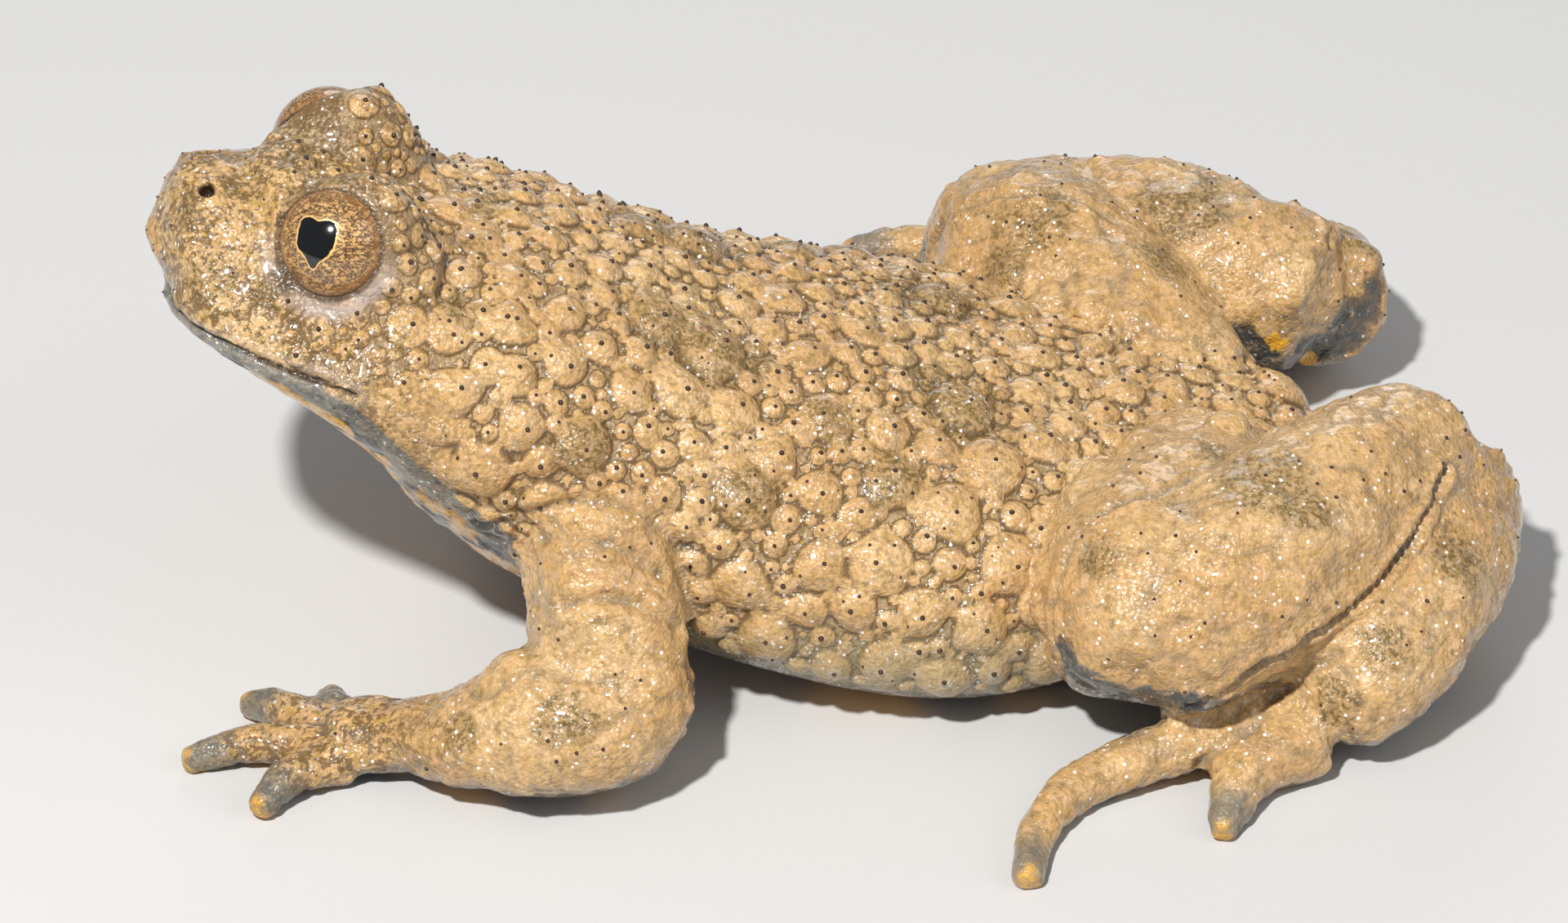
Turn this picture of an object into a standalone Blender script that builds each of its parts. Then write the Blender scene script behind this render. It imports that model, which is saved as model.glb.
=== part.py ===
"""A fire bellied toad at life size, sitting with its head raised and its hind legs folded.

The head and trunk are one lofted form, and each limb is a few tapered tubes. They are fused by a
remesh, the large warts are raised on the fused skin, and thin gaps part it where the joints are.
The toad faces -X, its left side is -Y, and the floor is at z = 0.
"""

import math
import random

import bmesh
import bpy
import numpy as np
from mathutils import Matrix, Vector
from mathutils.bvhtree import BVHTree

BODY_LENGTH = 0.045  # snout to vent, the driving dimension
UNIT = BODY_LENGTH / 45  # the tables below are in this unit, which is 1 mm on this toad
PART_GAP = 0.3  # between parts that touch
FLOOR = 0.0
EYE_RADIUS = 2.1
EYE_PLACE = (-16.2, 3.15, 18.15)  # the right eye's centre, and the left one's is its mirror image
EYE_AXIS = (-0.33, 0.80, 0.50)
LID_PLACE = (-15.75, 2.9, 18.1)
LID_RADII = (2.65, 2.3, 2.45)
BROW_PLACE = (-15.75, 3.2, 16.7)  # the swelling that a lid rises from
BROW_RADII = (3.3, 2.9, 1.9)
NOSTRIL_PLACE = (-20.75, 1.15, 19.2)
NOSTRIL_RADII = (0.38, 0.32, 0.38)
MOUTH_ROWS = (  # the right half of the line of the mouth, from the snout's middle
    (-22.9, 0.0, 15.7),
    (-22.4, 2.4, 15.5),
    (-21.5, 4.0, 15.45),
    (-20.2, 5.3, 15.3),
    (-18.7, 6.1, 15.0),
    (-17.3, 6.7, 14.7),
    (-16.0, 7.1, 14.2),
)
MOUTH_DEPTH = 0.2
NECK_PLACE = (-9.6, 0, 11.0)  # the plane between head and torso passes here
NECK_TILT = (1, 0, -0.42)  # and faces this way
WART_SEED = 11
WART_TRIES = 2600
WART_SIZES = ((1.3, 0.42, 14), (1.05, 0.36, 80), (0.78, 0.28, 270))  # radius, height and how many
WART_SPREAD = (0.86, 1.12)  # a wart's radius, as a share of its size in the list above
WART_RINGS = (28, 5)  # the body's rings that have no large warts, at its head and at its rump
WART_ARC = (-14, 194)  # degrees round a ring, from under the right side to under the left one
WIDE_WART = 0.92  # warts over this radius stand on the flanks only
WIDE_FROM = 0.5  # where the flanks begin for them: 0 is the back's middle and 1 the side
LIMB_FROM = 0.62  # and from here outward the limbs leave no room for large warts
CROWDING = 0.9  # how near two large warts stand, as a share of their radii
HEAD_END = -13.0  # no large wart is drawn ahead of this x
LIMB_SPANS = ((-9.0, -3.0), (9.2, 24.0))  # the x of the shoulders and hips, which have no large warts
# The glands that stand out on both sides of the back: x, distance from the middle, z, radius
GLANDS = (
    (-5.0, 2.8, 13.6, 1.3),
    (-3.0, 3.4, 12.6, 1.55),
    (6.2, 3.5, 9.4, 1.35),
    (-8.0, 7.7, 11.9, 1.15),
    (-2.2, 8.2, 9.5, 1.3),
    (0.9, 5.3, 10.7, 1.15),
    (3.2, 7.3, 9.1, 1.2),
    (7.3, 9.2, 6.5, 1.35),
    (2.5, 9.6, 7.2, 1.3),
    (0.2, 9.5, 7.3, 1.1),
    (1.5, 10.2, 5.7, 0.95),
    (-10.4, 4.9, 15.2, 1.0),
    (-12.5, 5.3, 15.7, 0.85),
    (-11.0, 1.4, 16.3, 0.7),
    (-11.9, 3.2, 16.3, 0.75),
    (9.0, 4.4, 8.3, 1.1),
    (9.2, 7.0, 8.1, 1.0),
    (-4.4, 5.5, 12.3, 1.1),
    (-8.5, 5.8, 14.0, 1.0),
    (-12.4, 7.2, 14.2, 1.0),
    (-6.2, 6.0, 12.8, 0.9),
    (-1.0, 7.0, 10.3, 1.0),
)
GLAND_HEIGHT = 0.33  # as a share of its radius

# The body from snout to rump: x, z, half width, height above, depth below, squareness of the belly
BODY_ROWS = (
    (-22.5, 16.9, 1.3, 1.25, 0.95, 2.0),
    (-22.1, 16.85, 2.5, 2.3, 1.65, 2.0),
    (-21.6, 16.7, 3.6, 3.2, 2.2, 2.0),
    (-20.2, 15.95, 5.2, 4.25, 2.65, 2.0),
    (-17.6, 14.9, 6.6, 4.5, 3.2, 2.1),
    (-14.6, 13.4, 7.5, 4.3, 3.9, 2.1),
    (-11.6, 11.8, 8.2, 4.95, 5.7, 2.1),
    (-8.0, 9.7, 8.5, 5.35, 6.9, 2.2),
    (-4.0, 7.2, 9.2, 5.9, 6.2, 2.5),
    (0.5, 5.2, 10.2, 6.4, 5.1, 3.1),
    (5.0, 3.8, 10.9, 6.1, 4.0, 3.4),
    (9.5, 3.4, 10.0, 5.2, 3.7, 3.2),
    (13.5, 3.6, 7.6, 4.1, 3.7, 2.6),
    (17.0, 4.0, 5.2, 2.8, 3.2, 2.2),
    (19.0, 4.3, 3.3, 1.9, 2.2, 2.0),
    (20.0, 4.5, 1.5, 0.9, 1.0, 2.0),
)

# A limb's line: x, distance from the body's middle, z, half width across and half height
ARM_ROWS = {
    "left": (
        (-7.0, 4.6, 9.0, 3.4, 3.0),
        (-7.4, 8.2, 7.0, 2.9, 2.9),
        (-7.3, 10.9, 4.8, 2.8, 2.6),
        (-7.4, 12.1, 3.4, 2.7, 2.6),
        (-10.1, 12.3, 3.0, 2.8, 2.7),
        (-13.2, 11.3, 2.0, 2.0, 1.7),
        (-15.0, 10.4, 1.5, 1.6, 1.2),
        (-17.0, 9.9, 1.1, 2.0, 1.0),
    ),
    "right": (
        (-7.0, 4.6, 9.0, 3.4, 3.0),
        (-7.0, 8.2, 7.0, 3.4, 2.9),
        (-5.6, 11.2, 4.8, 3.0, 2.6),
        (-5.0, 12.6, 3.3, 2.6, 2.6),
        (-7.0, 14.2, 2.8, 2.6, 2.4),
        (-9.0, 15.9, 2.0, 2.0, 1.7),
        (-10.4, 16.9, 1.5, 1.6, 1.2),
        (-12.0, 17.9, 1.1, 2.0, 1.0),
    ),
}
FINGER_ROWS = {
    "left": (
        ((-16.2, 9.2, 1.0), (-17.2, 7.6, 0.9), (-17.4, 6.4, 0.7)),
        ((-17.2, 9.2, 1.0), (-19.0, 7.6, 1.1), (-20.4, 6.6, 0.7)),
        ((-17.6, 9.9, 1.0), (-20.3, 9.5, 1.1), (-22.8, 9.7, 0.7)),
        ((-17.0, 10.8, 1.0), (-18.9, 11.5, 1.2), (-20.3, 12.9, 0.7)),
    ),
    "right": (
        ((-12.0, 17.0, 1.0), (-13.2, 15.7, 0.9), (-13.8, 14.7, 0.7)),
        ((-12.6, 17.6, 1.0), (-14.7, 17.0, 1.1), (-16.3, 16.6, 0.7)),
        ((-12.6, 18.3, 1.0), (-14.6, 19.6, 1.1), (-16.6, 21.0, 0.7)),
        ((-11.8, 18.9, 1.0), (-12.9, 20.7, 1.2), (-13.1, 22.6, 0.7)),
    ),
}
FINGER_RADII = (0.95, 0.82, 0.55)
THIGH_ROWS = {
    "left": (
        (15.4, 2.6, 4.5, 3.4, 3.2),
        (14.2, 6.0, 5.1, 4.0, 3.8),
        (12.2, 9.2, 5.5, 4.0, 4.0),
        (11.6, 11.4, 5.0, 3.3, 3.9),
        (11.8, 12.6, 4.2, 2.6, 3.3),
    ),
    "right": (
        (15.2, 2.6, 4.5, 3.4, 3.2),
        (13.2, 6.8, 5.2, 3.9, 3.8),
        (11.0, 10.6, 5.6, 3.9, 4.0),
        (9.8, 13.0, 4.9, 3.2, 3.5),
        (10.0, 14.2, 4.2, 2.6, 3.1),
    ),
}
SHANK_ROWS = {
    "left": (
        (11.4, 11.8, 4.9, 3.1, 3.4),
        (13.4, 11.3, 5.6, 3.7, 3.8),
        (17.0, 9.2, 6.1, 3.9, 4.1),
        (20.6, 6.2, 6.2, 3.6, 3.9),
        (23.6, 3.7, 6.4, 2.6, 2.9),
    ),
    "right": (
        (9.6, 13.6, 4.7, 3.1, 3.1),
        (12.2, 13.0, 5.1, 3.6, 3.3),
        (15.6, 11.4, 5.5, 3.7, 3.5),
        (18.7, 9.7, 5.4, 3.4, 3.3),
        (21.2, 8.4, 5.1, 2.9, 3.0),
    ),
}
FOOT_ROWS = {
    "left": (
        (24.1, 3.5, 5.2, 2.8, 2.9),
        (23.6, 5.8, 4.1, 3.1, 2.9),
        (22.0, 8.6, 3.9, 3.3, 3.2),
        (19.9, 11.3, 3.2, 3.4, 2.8),
        (18.1, 13.0, 1.9, 2.5, 1.5),
    ),
    "right": (
        (21.8, 9.0, 4.5, 2.5, 2.8),
        (22.0, 11.2, 3.5, 2.6, 2.6),
        (21.0, 13.6, 2.8, 2.4, 2.2),
        (18.8, 15.3, 2.2, 2.2, 1.7),
        (16.4, 16.5, 1.7, 2.3, 1.3),
    ),
}
TOE_ROWS = {
    "left": (
        ((18.2, 11.6, 1.3), (16.8, 10.6, 1.0), (15.7, 10.1, 0.6)),
        ((17.6, 12.0, 1.3), (15.4, 11.2, 1.0), (13.6, 10.7, 0.6)),
        ((17.2, 12.6, 1.4), (14.2, 12.4, 1.0), (11.6, 12.4, 0.6)),
        ((17.2, 13.0, 1.6), (13.2, 13.6, 1.5), (9.4, 14.8, 1.1), (7.4, 16.9, 0.8), (6.6, 19.6, 0.65)),
        ((17.6, 13.6, 1.5), (15.1, 15.0, 1.2), (13.8, 17.8, 0.65)),
    ),
    "right": (
        ((16.4, 15.0, 1.3), (15.0, 14.0, 1.0), (13.9, 13.5, 0.6)),
        ((15.8, 15.4, 1.3), (13.6, 14.9, 1.0), (11.8, 14.7, 0.6)),
        ((15.4, 16.0, 1.4), (12.4, 16.2, 1.0), (9.8, 16.9, 0.6)),
        ((15.4, 16.4, 1.6), (11.8, 18.4, 1.5), (8.8, 19.7, 1.1), (6.6, 20.3, 0.8), (4.6, 20.2, 0.65)),
        ((16.0, 17.0, 1.5), (14.2, 19.0, 1.2), (12.4, 21.6, 0.65)),
    ),
}
TOE_RADII = ((1.15, 0.9, 0.55),) * 3 + ((1.3, 0.98, 0.6), (1.55, 1.25, 0.55))  # first to fifth toe
WEB_THICKNESS = 0.6
WEB_REACH = 0.62  # how far along the toes the web goes
DIGIT_DROP = 0.3  # how far the fingers and toes are let down, so that they rest on the floor
WEB_SINK = 0.8  # its height off the floor, as a share of the toes'

BODY_VOXEL = 0.34  # the grain of each fused form, before its faces are merged
LIMB_VOXEL = 0.34
DIGIT_VOXEL = 0.24
ENVELOPE_VOXEL = 0.32
TRIANGLES = {
    "body": 7000,
    "arm": 1000,
    "thigh": 420,
    "shank": 420,
    "foot": 850,
    "body_envelope": 3200,
    "limb_envelope": 400,
}

SIDES = {"left": -1, "right": 1}
SKIN_COLOUR = (0.56, 0.40, 0.20, 1.0)
IRIS_COLOUR = (0.55, 0.33, 0.12, 1.0)


def clear_scene():
    for item in list(bpy.data.objects):
        bpy.data.objects.remove(item)


def scaled(point):
    return Vector(point) * UNIT


def smooth_rows(rows, steps):
    """Rows on a smooth curve through the given ones, with this many to each span."""
    table = np.array(rows, float)
    padded = np.vstack([2 * table[0] - table[1], table, 2 * table[-1] - table[-2]])
    found = []
    for i in range(1, len(padded) - 2):
        before, start, end, after = padded[i - 1 : i + 3]
        for k in range(steps):
            t = k / steps
            found.append(
                0.5
                * (
                    2 * start
                    + (end - before) * t
                    + (2 * before - 5 * start + 4 * end - after) * t**2
                    + (3 * start - before - 3 * end + after) * t**3
                )
            )
    found.append(table[-1])
    return found


def power_curve(value, power):
    return math.copysign(abs(value) ** (2 / power), value)


def body_frame(rows, index):
    """The middle of a body ring, and its upward direction at right angles to the body's line."""
    ahead, behind = rows[min(index + 1, len(rows) - 1)], rows[max(index - 1, 0)]
    along = Vector((ahead[0] - behind[0], 0, ahead[1] - behind[1])).normalized()
    return Vector((rows[index][0], 0, rows[index][1])), Vector((-along.z, 0, along.x))


def body_ring_point(rows, index, angle):
    """A point of the body's skin, where angle 0 is its right side and a quarter turn its back."""
    middle, up = body_frame(rows, index)
    width, height, depth, squareness = rows[index][2:6]
    sine, cosine = math.sin(angle), math.cos(angle)
    power = squareness if sine < 0 else 2.0
    reach = height if sine > 0 else depth
    across = Vector((0, width * power_curve(cosine, power), 0))
    return middle + across + up * reach * power_curve(sine, power)


def ring_mesh(name, rings):
    """A closed mesh through rings of points, with a rounded tip at both ends."""
    mesh = bmesh.new()
    made = [[mesh.verts.new(point * UNIT) for point in ring] for ring in rings]
    for lower, upper in zip(made, made[1:]):
        for k in range(len(lower)):
            after = (k + 1) % len(lower)
            mesh.faces.new((lower[k], lower[after], upper[after], upper[k]))
    for ring, inner in ((made[0], rings[1]), (made[-1], rings[-2])):
        middle = sum((v.co for v in ring), Vector()) / len(ring)
        inner_middle = sum(inner, Vector()) / len(inner) * UNIT
        reach = max((v.co - middle).length for v in ring)
        tip = mesh.verts.new(middle + (middle - inner_middle).normalized() * reach * 0.5)
        for k in range(len(ring)):
            mesh.faces.new((ring[k], ring[(k + 1) % len(ring)], tip))
    bmesh.ops.recalc_face_normals(mesh, faces=mesh.faces)
    return linked(name, mesh)


def linked(name, mesh):
    data = bpy.data.meshes.new(name)
    mesh.to_mesh(data)
    mesh.free()
    made = bpy.data.objects.new(name, data)
    bpy.context.scene.collection.objects.link(made)
    return made


def tube(name, rows, side, sides=14, steps=4):
    """A limb's tapered tube along its rows, with side -1 for the toad's left."""
    line = smooth_rows(rows, steps)
    middles = [Vector((row[0], side * row[1], row[2])) for row in line]
    rings = []
    for i, middle in enumerate(middles):
        along = middles[min(i + 1, len(line) - 1)] - middles[max(i - 1, 0)]
        across = along.cross(Vector((0, 0, 1))).normalized()
        up = across.cross(along).normalized()
        turns = [2 * math.pi * k / sides for k in range(sides)]
        rings.append(
            [middle + across * line[i][3] * math.cos(t) + up * line[i][4] * math.sin(t) for t in turns]
        )
    return ring_mesh(name, rings)


def digit(name, points, radii, side):
    """A finger or toe: a round tube with a slightly swollen tip."""
    last = len(points) - 1
    rows = []
    for i, point in enumerate(points):
        radius = float(np.interp(2 * i / last, (0, 1, 2), radii))
        x, y, z = point
        rows.append((x, y, z - DIGIT_DROP, radius, radius * 0.92))
    return tube(name, rows, side, sides=10, steps=3)


def web(name, first, second, side):
    """The skin between two toes: a thin plate whose free edge curves in."""
    mesh = bmesh.new()
    count = 6
    top, bottom = [], []
    rows_a = smooth_rows(first, 6)
    rows_b = smooth_rows(second, 6)
    for k in range(count + 1):
        share = k / count
        edge_in = 1 - 0.35 * math.sin(math.pi * share)
        along_a = rows_a[round(WEB_REACH * edge_in * (len(rows_a) - 1))]
        along_b = rows_b[round(WEB_REACH * edge_in * (len(rows_b) - 1))]
        outer = Vector(along_a).lerp(Vector(along_b), share)
        root = Vector(first[0]).lerp(Vector(second[0]), share)
        for row, lift in ((top, WEB_THICKNESS / 2), (bottom, -WEB_THICKNESS / 2)):
            row.append(
                [
                    mesh.verts.new(Vector((p.x, side * p.y, p.z * WEB_SINK + lift)) * UNIT)
                    for p in (root, outer)
                ]
            )
    for k in range(count):
        for row in (top, bottom):
            mesh.faces.new((row[k][0], row[k][1], row[k + 1][1], row[k + 1][0]))
        for end in (0, 1):
            mesh.faces.new((top[k][end], top[k + 1][end], bottom[k + 1][end], bottom[k][end]))
    for k in (0, count):
        mesh.faces.new((top[k][0], top[k][1], bottom[k][1], bottom[k][0]))
    bmesh.ops.recalc_face_normals(mesh, faces=mesh.faces)
    return linked(name, mesh)


def ellipsoid(name, place, radii, turn=(0, 0, 0), segments=32, rings=20):
    mesh = bmesh.new()
    bmesh.ops.create_uvsphere(mesh, u_segments=segments, v_segments=rings, radius=1)
    made = linked(name, mesh)
    made.scale = Vector(radii) * UNIT
    made.rotation_euler = turn
    made.location = scaled(place)
    bpy.context.view_layer.update()
    made.data.transform(made.matrix_world)
    made.matrix_world.identity()
    return made


def settle(item):
    """Applies an object's modifiers."""
    bpy.context.view_layer.update()
    graph = bpy.context.evaluated_depsgraph_get()
    data = bpy.data.meshes.new_from_object(item.evaluated_get(graph))
    item.modifiers.clear()
    item.data = data
    return item


def fuse(name, pieces, voxel, smoothing):
    """One skin over overlapping pieces, with its creases eased."""
    mesh = bmesh.new()
    for piece in pieces:
        mesh.from_mesh(piece.data)
        bpy.data.objects.remove(piece)
    skin = linked(name, mesh)
    remesh = skin.modifiers.new("Fuse", "REMESH")
    remesh.mode = "VOXEL"
    remesh.voxel_size = voxel * UNIT
    ease = skin.modifiers.new("Ease", "SMOOTH")
    ease.factor = 0.5
    ease.iterations = smoothing
    return settle(skin)


def thin_out(item, triangles):
    """Merges edges down to about this many triangles, keeping the form."""
    mesh = bmesh.new()
    mesh.from_mesh(item.data)
    bmesh.ops.triangulate(mesh, faces=mesh.faces)
    mesh.to_mesh(item.data)
    mesh.free()
    reduce = item.modifiers.new("Reduce", "DECIMATE")
    reduce.ratio = min(1.0, triangles / len(item.data.polygons))
    return settle(item)


def cutter(item):
    """Marks an object as one that only cuts others."""
    item.hide_render = True
    item.display_type = "WIRE"
    return item


def envelope(item, triangles):
    """A plainer copy that stands a gap outside the item, for cutting its neighbours clear of it."""
    copy = bpy.data.objects.new(item.name + "_envelope", item.data.copy())
    bpy.context.scene.collection.objects.link(copy)
    push = copy.modifiers.new("Push", "DISPLACE")
    push.mid_level = 0
    push.strength = PART_GAP * UNIT
    heal = copy.modifiers.new("Heal", "REMESH")
    heal.mode = "VOXEL"
    heal.voxel_size = ENVELOPE_VOXEL * UNIT
    return cutter(thin_out(settle(copy), triangles))


def trim(item, cutters):
    """Cuts the item clear of its neighbours and keeps its largest piece."""
    for tool in cutters:
        cut = item.modifiers.new("Trim", "BOOLEAN")
        cut.operation = "DIFFERENCE"
        cut.solver = "EXACT"
        cut.object = tool
        settle(item)
    return largest(item)


def largest(item):
    """Keeps the item's largest shell."""
    mesh = bmesh.new()
    mesh.from_mesh(item.data)
    bmesh.ops.remove_doubles(mesh, verts=mesh.verts, dist=0.004 * UNIT)
    left, shells = set(mesh.verts), []
    while left:
        shell, edge = set(), [left.pop()]
        while edge:
            point = edge.pop()
            shell.add(point)
            for other in (e.other_vert(point) for e in point.link_edges):
                if other in left:
                    left.discard(other)
                    edge.append(other)
        shells.append(shell)
    keep = max(shells, key=len)
    bmesh.ops.delete(mesh, geom=[v for v in mesh.verts if v not in keep], context="VERTS")
    mesh.to_mesh(item.data)
    mesh.free()
    return item


def slice_off(item, point, direction):
    """Removes what lies beyond a plane, on the side that direction points to, and closes the cut."""
    mesh = bmesh.new()
    mesh.from_mesh(item.data)
    everything = mesh.verts[:] + mesh.edges[:] + mesh.faces[:]
    bmesh.ops.bisect_plane(
        mesh,
        geom=everything,
        dist=1e-7,
        plane_co=scaled(point),
        plane_no=Vector(direction),
        clear_outer=True,
    )
    rim = [edge for edge in mesh.edges if edge.is_boundary]
    if rim:
        bmesh.ops.holes_fill(mesh, edges=rim, sides=0)
        bmesh.ops.triangulate(mesh, faces=[face for face in mesh.faces if len(face.verts) > 4])
    bmesh.ops.recalc_face_normals(mesh, faces=mesh.faces)
    mesh.to_mesh(item.data)
    mesh.free()
    return item


def halves(item, point, direction, names):
    """Parts the item at a plane, leaving the gap, into what lies behind it and what lies beyond it."""
    towards = Vector(direction).normalized()
    twin = bpy.data.objects.new(names[1], item.data.copy())
    bpy.context.scene.collection.objects.link(twin)
    item.name = names[0]
    slice_off(item, Vector(point) - towards * PART_GAP / 2, towards)
    slice_off(twin, Vector(point) + towards * PART_GAP / 2, -towards)
    return largest(item), largest(twin)


def wart_places():
    """Where the large warts sit: (point, radius, height), the glands first and the rest drawn."""
    draw = random.Random(WART_SEED)
    rows = smooth_rows(BODY_ROWS, 6)
    chosen = []
    for x, y, z, radius in GLANDS:
        chosen += [(Vector((x, side * y, z)), radius, GLAND_HEIGHT * radius) for side in (-1, 1)]
    for radius, height, count in WART_SIZES:
        made = 0
        for _ in range(WART_TRIES):
            index = draw.randrange(WART_RINGS[0], len(rows) - WART_RINGS[1])
            angle = math.radians(draw.uniform(*WART_ARC))
            size = radius * draw.uniform(*WART_SPREAD)
            point = body_ring_point(rows, index, angle)
            flank = abs(math.cos(angle))
            beside_limb = flank > LIMB_FROM and any(low < point.x < high for low, high in LIMB_SPANS)
            on_head = point.x < HEAD_END
            too_wide = size > WIDE_WART and flank < WIDE_FROM
            crowded = any((point - other[0]).length < CROWDING * (size + other[1]) for other in chosen)
            if made >= count or beside_limb or on_head or too_wide or crowded:
                continue
            chosen.append((point, size, height * size / radius))
            made += 1
    return chosen


def raise_warts(item, warts):
    """Lifts the skin into a dome at each wart."""
    count = len(item.data.vertices)
    places = np.empty(count * 3, np.float64)
    item.data.vertices.foreach_get("co", places)
    places = places.reshape(-1, 3)
    outward = np.array([v.normal for v in item.data.vertices], float)
    surface = BVHTree.FromObject(item, bpy.context.evaluated_depsgraph_get())
    lift = np.zeros(count)
    for point, radius, height in warts:
        seat = np.array(surface.find_nearest(point * UNIT)[0])
        share = ((places - seat) ** 2).sum(axis=1) / (radius * UNIT) ** 2
        lift = np.maximum(lift, np.where(share < 1, height * UNIT * (1 - share), 0))
    places += outward * lift[:, None]
    item.data.vertices.foreach_set("co", places.ravel())
    item.data.update()
    return item


def body_skin():
    """The head and trunk as one form, with the swellings of the lids."""
    rows = smooth_rows(BODY_ROWS, 6)
    turns = [2 * math.pi * k / 36 for k in range(36)]
    rings = [[body_ring_point(rows, i, t) for t in turns] for i in range(len(rows))]
    pieces = [ring_mesh("trunk", rings)]
    for side in SIDES.values():
        for place, radii in ((LID_PLACE, LID_RADII), (BROW_PLACE, BROW_RADII)):
            x, y, z = place
            pieces.append(ellipsoid("lid", (x, side * y, z), radii, (side * -0.35, -0.25, 0)))
    return fuse("body", pieces, BODY_VOXEL, smoothing=5)


def eye_socket(side):
    """A cutter for an eye: its ball, and the way out along its axis."""
    x, y, z = EYE_PLACE
    axis = Vector((EYE_AXIS[0], side * EYE_AXIS[1], EYE_AXIS[2])).normalized()
    middle = Vector((x, side * y, z))
    across = axis.cross(Vector((0, 0, 1))).normalized()
    up = across.cross(axis)
    reach = EYE_RADIUS + PART_GAP
    profile = [(-math.cos(t) * reach, math.sin(t) * reach) for t in np.linspace(0.25, math.pi / 2, 7)]
    profile.append((reach * 1.6, reach * 1.04))
    rings = []
    for along, out in profile:
        turns = [2 * math.pi * k / 24 for k in range(24)]
        rings.append(
            [middle + axis * along + (across * math.cos(t) + up * math.sin(t)) * out for t in turns]
        )
    return ring_mesh("socket", rings)


def eyeball(side):
    x, y, z = EYE_PLACE
    return ellipsoid("eye", (x, side * y, z), (EYE_RADIUS,) * 3, segments=16, rings=10)


def mouth_cutter(head):
    """A thin tube laid along the head's surface round the jaws, which leaves the line of the mouth."""
    surface = BVHTree.FromObject(head, bpy.context.evaluated_depsgraph_get())
    half = smooth_rows(MOUTH_ROWS, 3)
    line = [(x, -y, z) for x, y, z in reversed(half)] + [tuple(point) for point in half[1:]]
    line = [surface.find_nearest(scaled(point))[0] / UNIT for point in line]
    rings = []
    for i, middle in enumerate(line):
        along = line[min(i + 1, len(line) - 1)] - line[max(i - 1, 0)]
        across = along.cross(Vector((0, 0, 1))).normalized()
        up = across.cross(along).normalized()
        turns = [2 * math.pi * k / 5 for k in range(5)]
        rings.append([middle + (across * math.cos(t) + up * math.sin(t)) * MOUTH_DEPTH for t in turns])
    return ring_mesh("mouth", rings)


def nostril_cutter(head, side):
    """A small ball set in the head's surface, which leaves a nostril."""
    surface = BVHTree.FromObject(head, bpy.context.evaluated_depsgraph_get())
    x, y, z = NOSTRIL_PLACE
    seat = surface.find_nearest(scaled((x, side * y, z)))[0] / UNIT
    return ellipsoid("nostril", seat, NOSTRIL_RADII, segments=8, rings=6)


def whole_arm(side, name):
    pieces = [tube("limb", ARM_ROWS[name], side)]
    pieces += [digit("finger", points, FINGER_RADII, side) for points in FINGER_ROWS[name]]
    return thin_out(fuse("arm_" + name, pieces, DIGIT_VOXEL, smoothing=3), TRIANGLES["arm"])


def whole_foot(side, name):
    toes = TOE_ROWS[name]
    pieces = [tube("limb", FOOT_ROWS[name], side)]
    pieces += [digit("toe", points, radii, side) for points, radii in zip(toes, TOE_RADII)]
    pieces += [web("web", a, b, side) for a, b in zip(toes, toes[1:])]
    return thin_out(fuse("foot_" + name, pieces, DIGIT_VOXEL, smoothing=3), TRIANGLES["foot"])


def leg_piece(side, rows, name):
    """A thigh or a shank."""
    return thin_out(fuse(name, [tube("limb", rows, side)], LIMB_VOXEL, smoothing=2), TRIANGLES[name])


def head_and_torso():
    """The head and torso, then the cutters that shaped them: the last one clears the whole body."""
    body = body_skin()
    raise_warts(body, wart_places())
    thin_out(body, TRIANGLES["body"])
    clear = envelope(body, TRIANGLES["body_envelope"])
    head, torso = halves(body, NECK_PLACE, NECK_TILT, ("head", "torso"))
    tools = [eye_socket(side) for side in SIDES.values()]
    tools += [nostril_cutter(head, side) for side in SIDES.values()]
    tools.append(mouth_cutter(head))
    trim(head, [cutter(tool) for tool in tools])
    return {"head": head, "torso": torso}, [*tools, clear]


def arm(side, name, body_clear):
    """The upper arm, forearm and hand, parted at the elbow and the wrist."""
    rows = [Vector(row[:3]) * Vector((1, side, 1)) for row in ARM_ROWS[name]]
    whole = trim(whole_arm(side, name), [body_clear])
    upper, lower = halves(whole, rows[3], rows[4] - rows[2], ("upper_arm", "lower_arm"))
    fore, hand = halves(lower, rows[6], rows[7] - rows[5], ("forearm", "hand"))
    return {"upper_arm": upper, "forearm": fore, "hand": hand}


def leg(side, name, body_clear):
    """The thigh, the shank and the foot, each cut clear of those before it, then their cutters."""
    thigh = leg_piece(side, THIGH_ROWS[name], "thigh")
    shank = leg_piece(side, SHANK_ROWS[name], "shank")
    foot = whole_foot(side, name)
    thigh_clear = envelope(thigh, TRIANGLES["limb_envelope"])
    shank_clear = envelope(shank, TRIANGLES["limb_envelope"])
    trim(shank, [thigh_clear, body_clear])
    trim(foot, [thigh_clear, shank_clear, body_clear])
    trim(thigh, [body_clear])
    return {"thigh": thigh, "shank": shank, "foot": foot}, [thigh_clear, shank_clear]


def plain_material(name, colour, roughness):
    material = bpy.data.materials.new(name)
    material.use_nodes = True
    shader = material.node_tree.nodes["Principled BSDF"]
    shader.inputs["Base Color"].default_value = colour
    shader.inputs["Roughness"].default_value = roughness
    shader.inputs["Metallic"].default_value = 0.0
    return material


def skin_material():
    return plain_material("skin", SKIN_COLOUR, 0.45)


def iris_material():
    return plain_material("iris", IRIS_COLOUR, 0.2)


def finish(item, name, material):
    """Flattens what reaches the floor, and gives a part its name, material and smooth shading."""
    slice_off(item, (0, 0, FLOOR), (0, 0, -1))
    item.name = name
    item.data.name = name
    item.data.materials.clear()
    item.data.materials.append(material)
    item.data.shade_smooth()
    item.data.set_sharp_from_angle(angle=math.radians(50))


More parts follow.
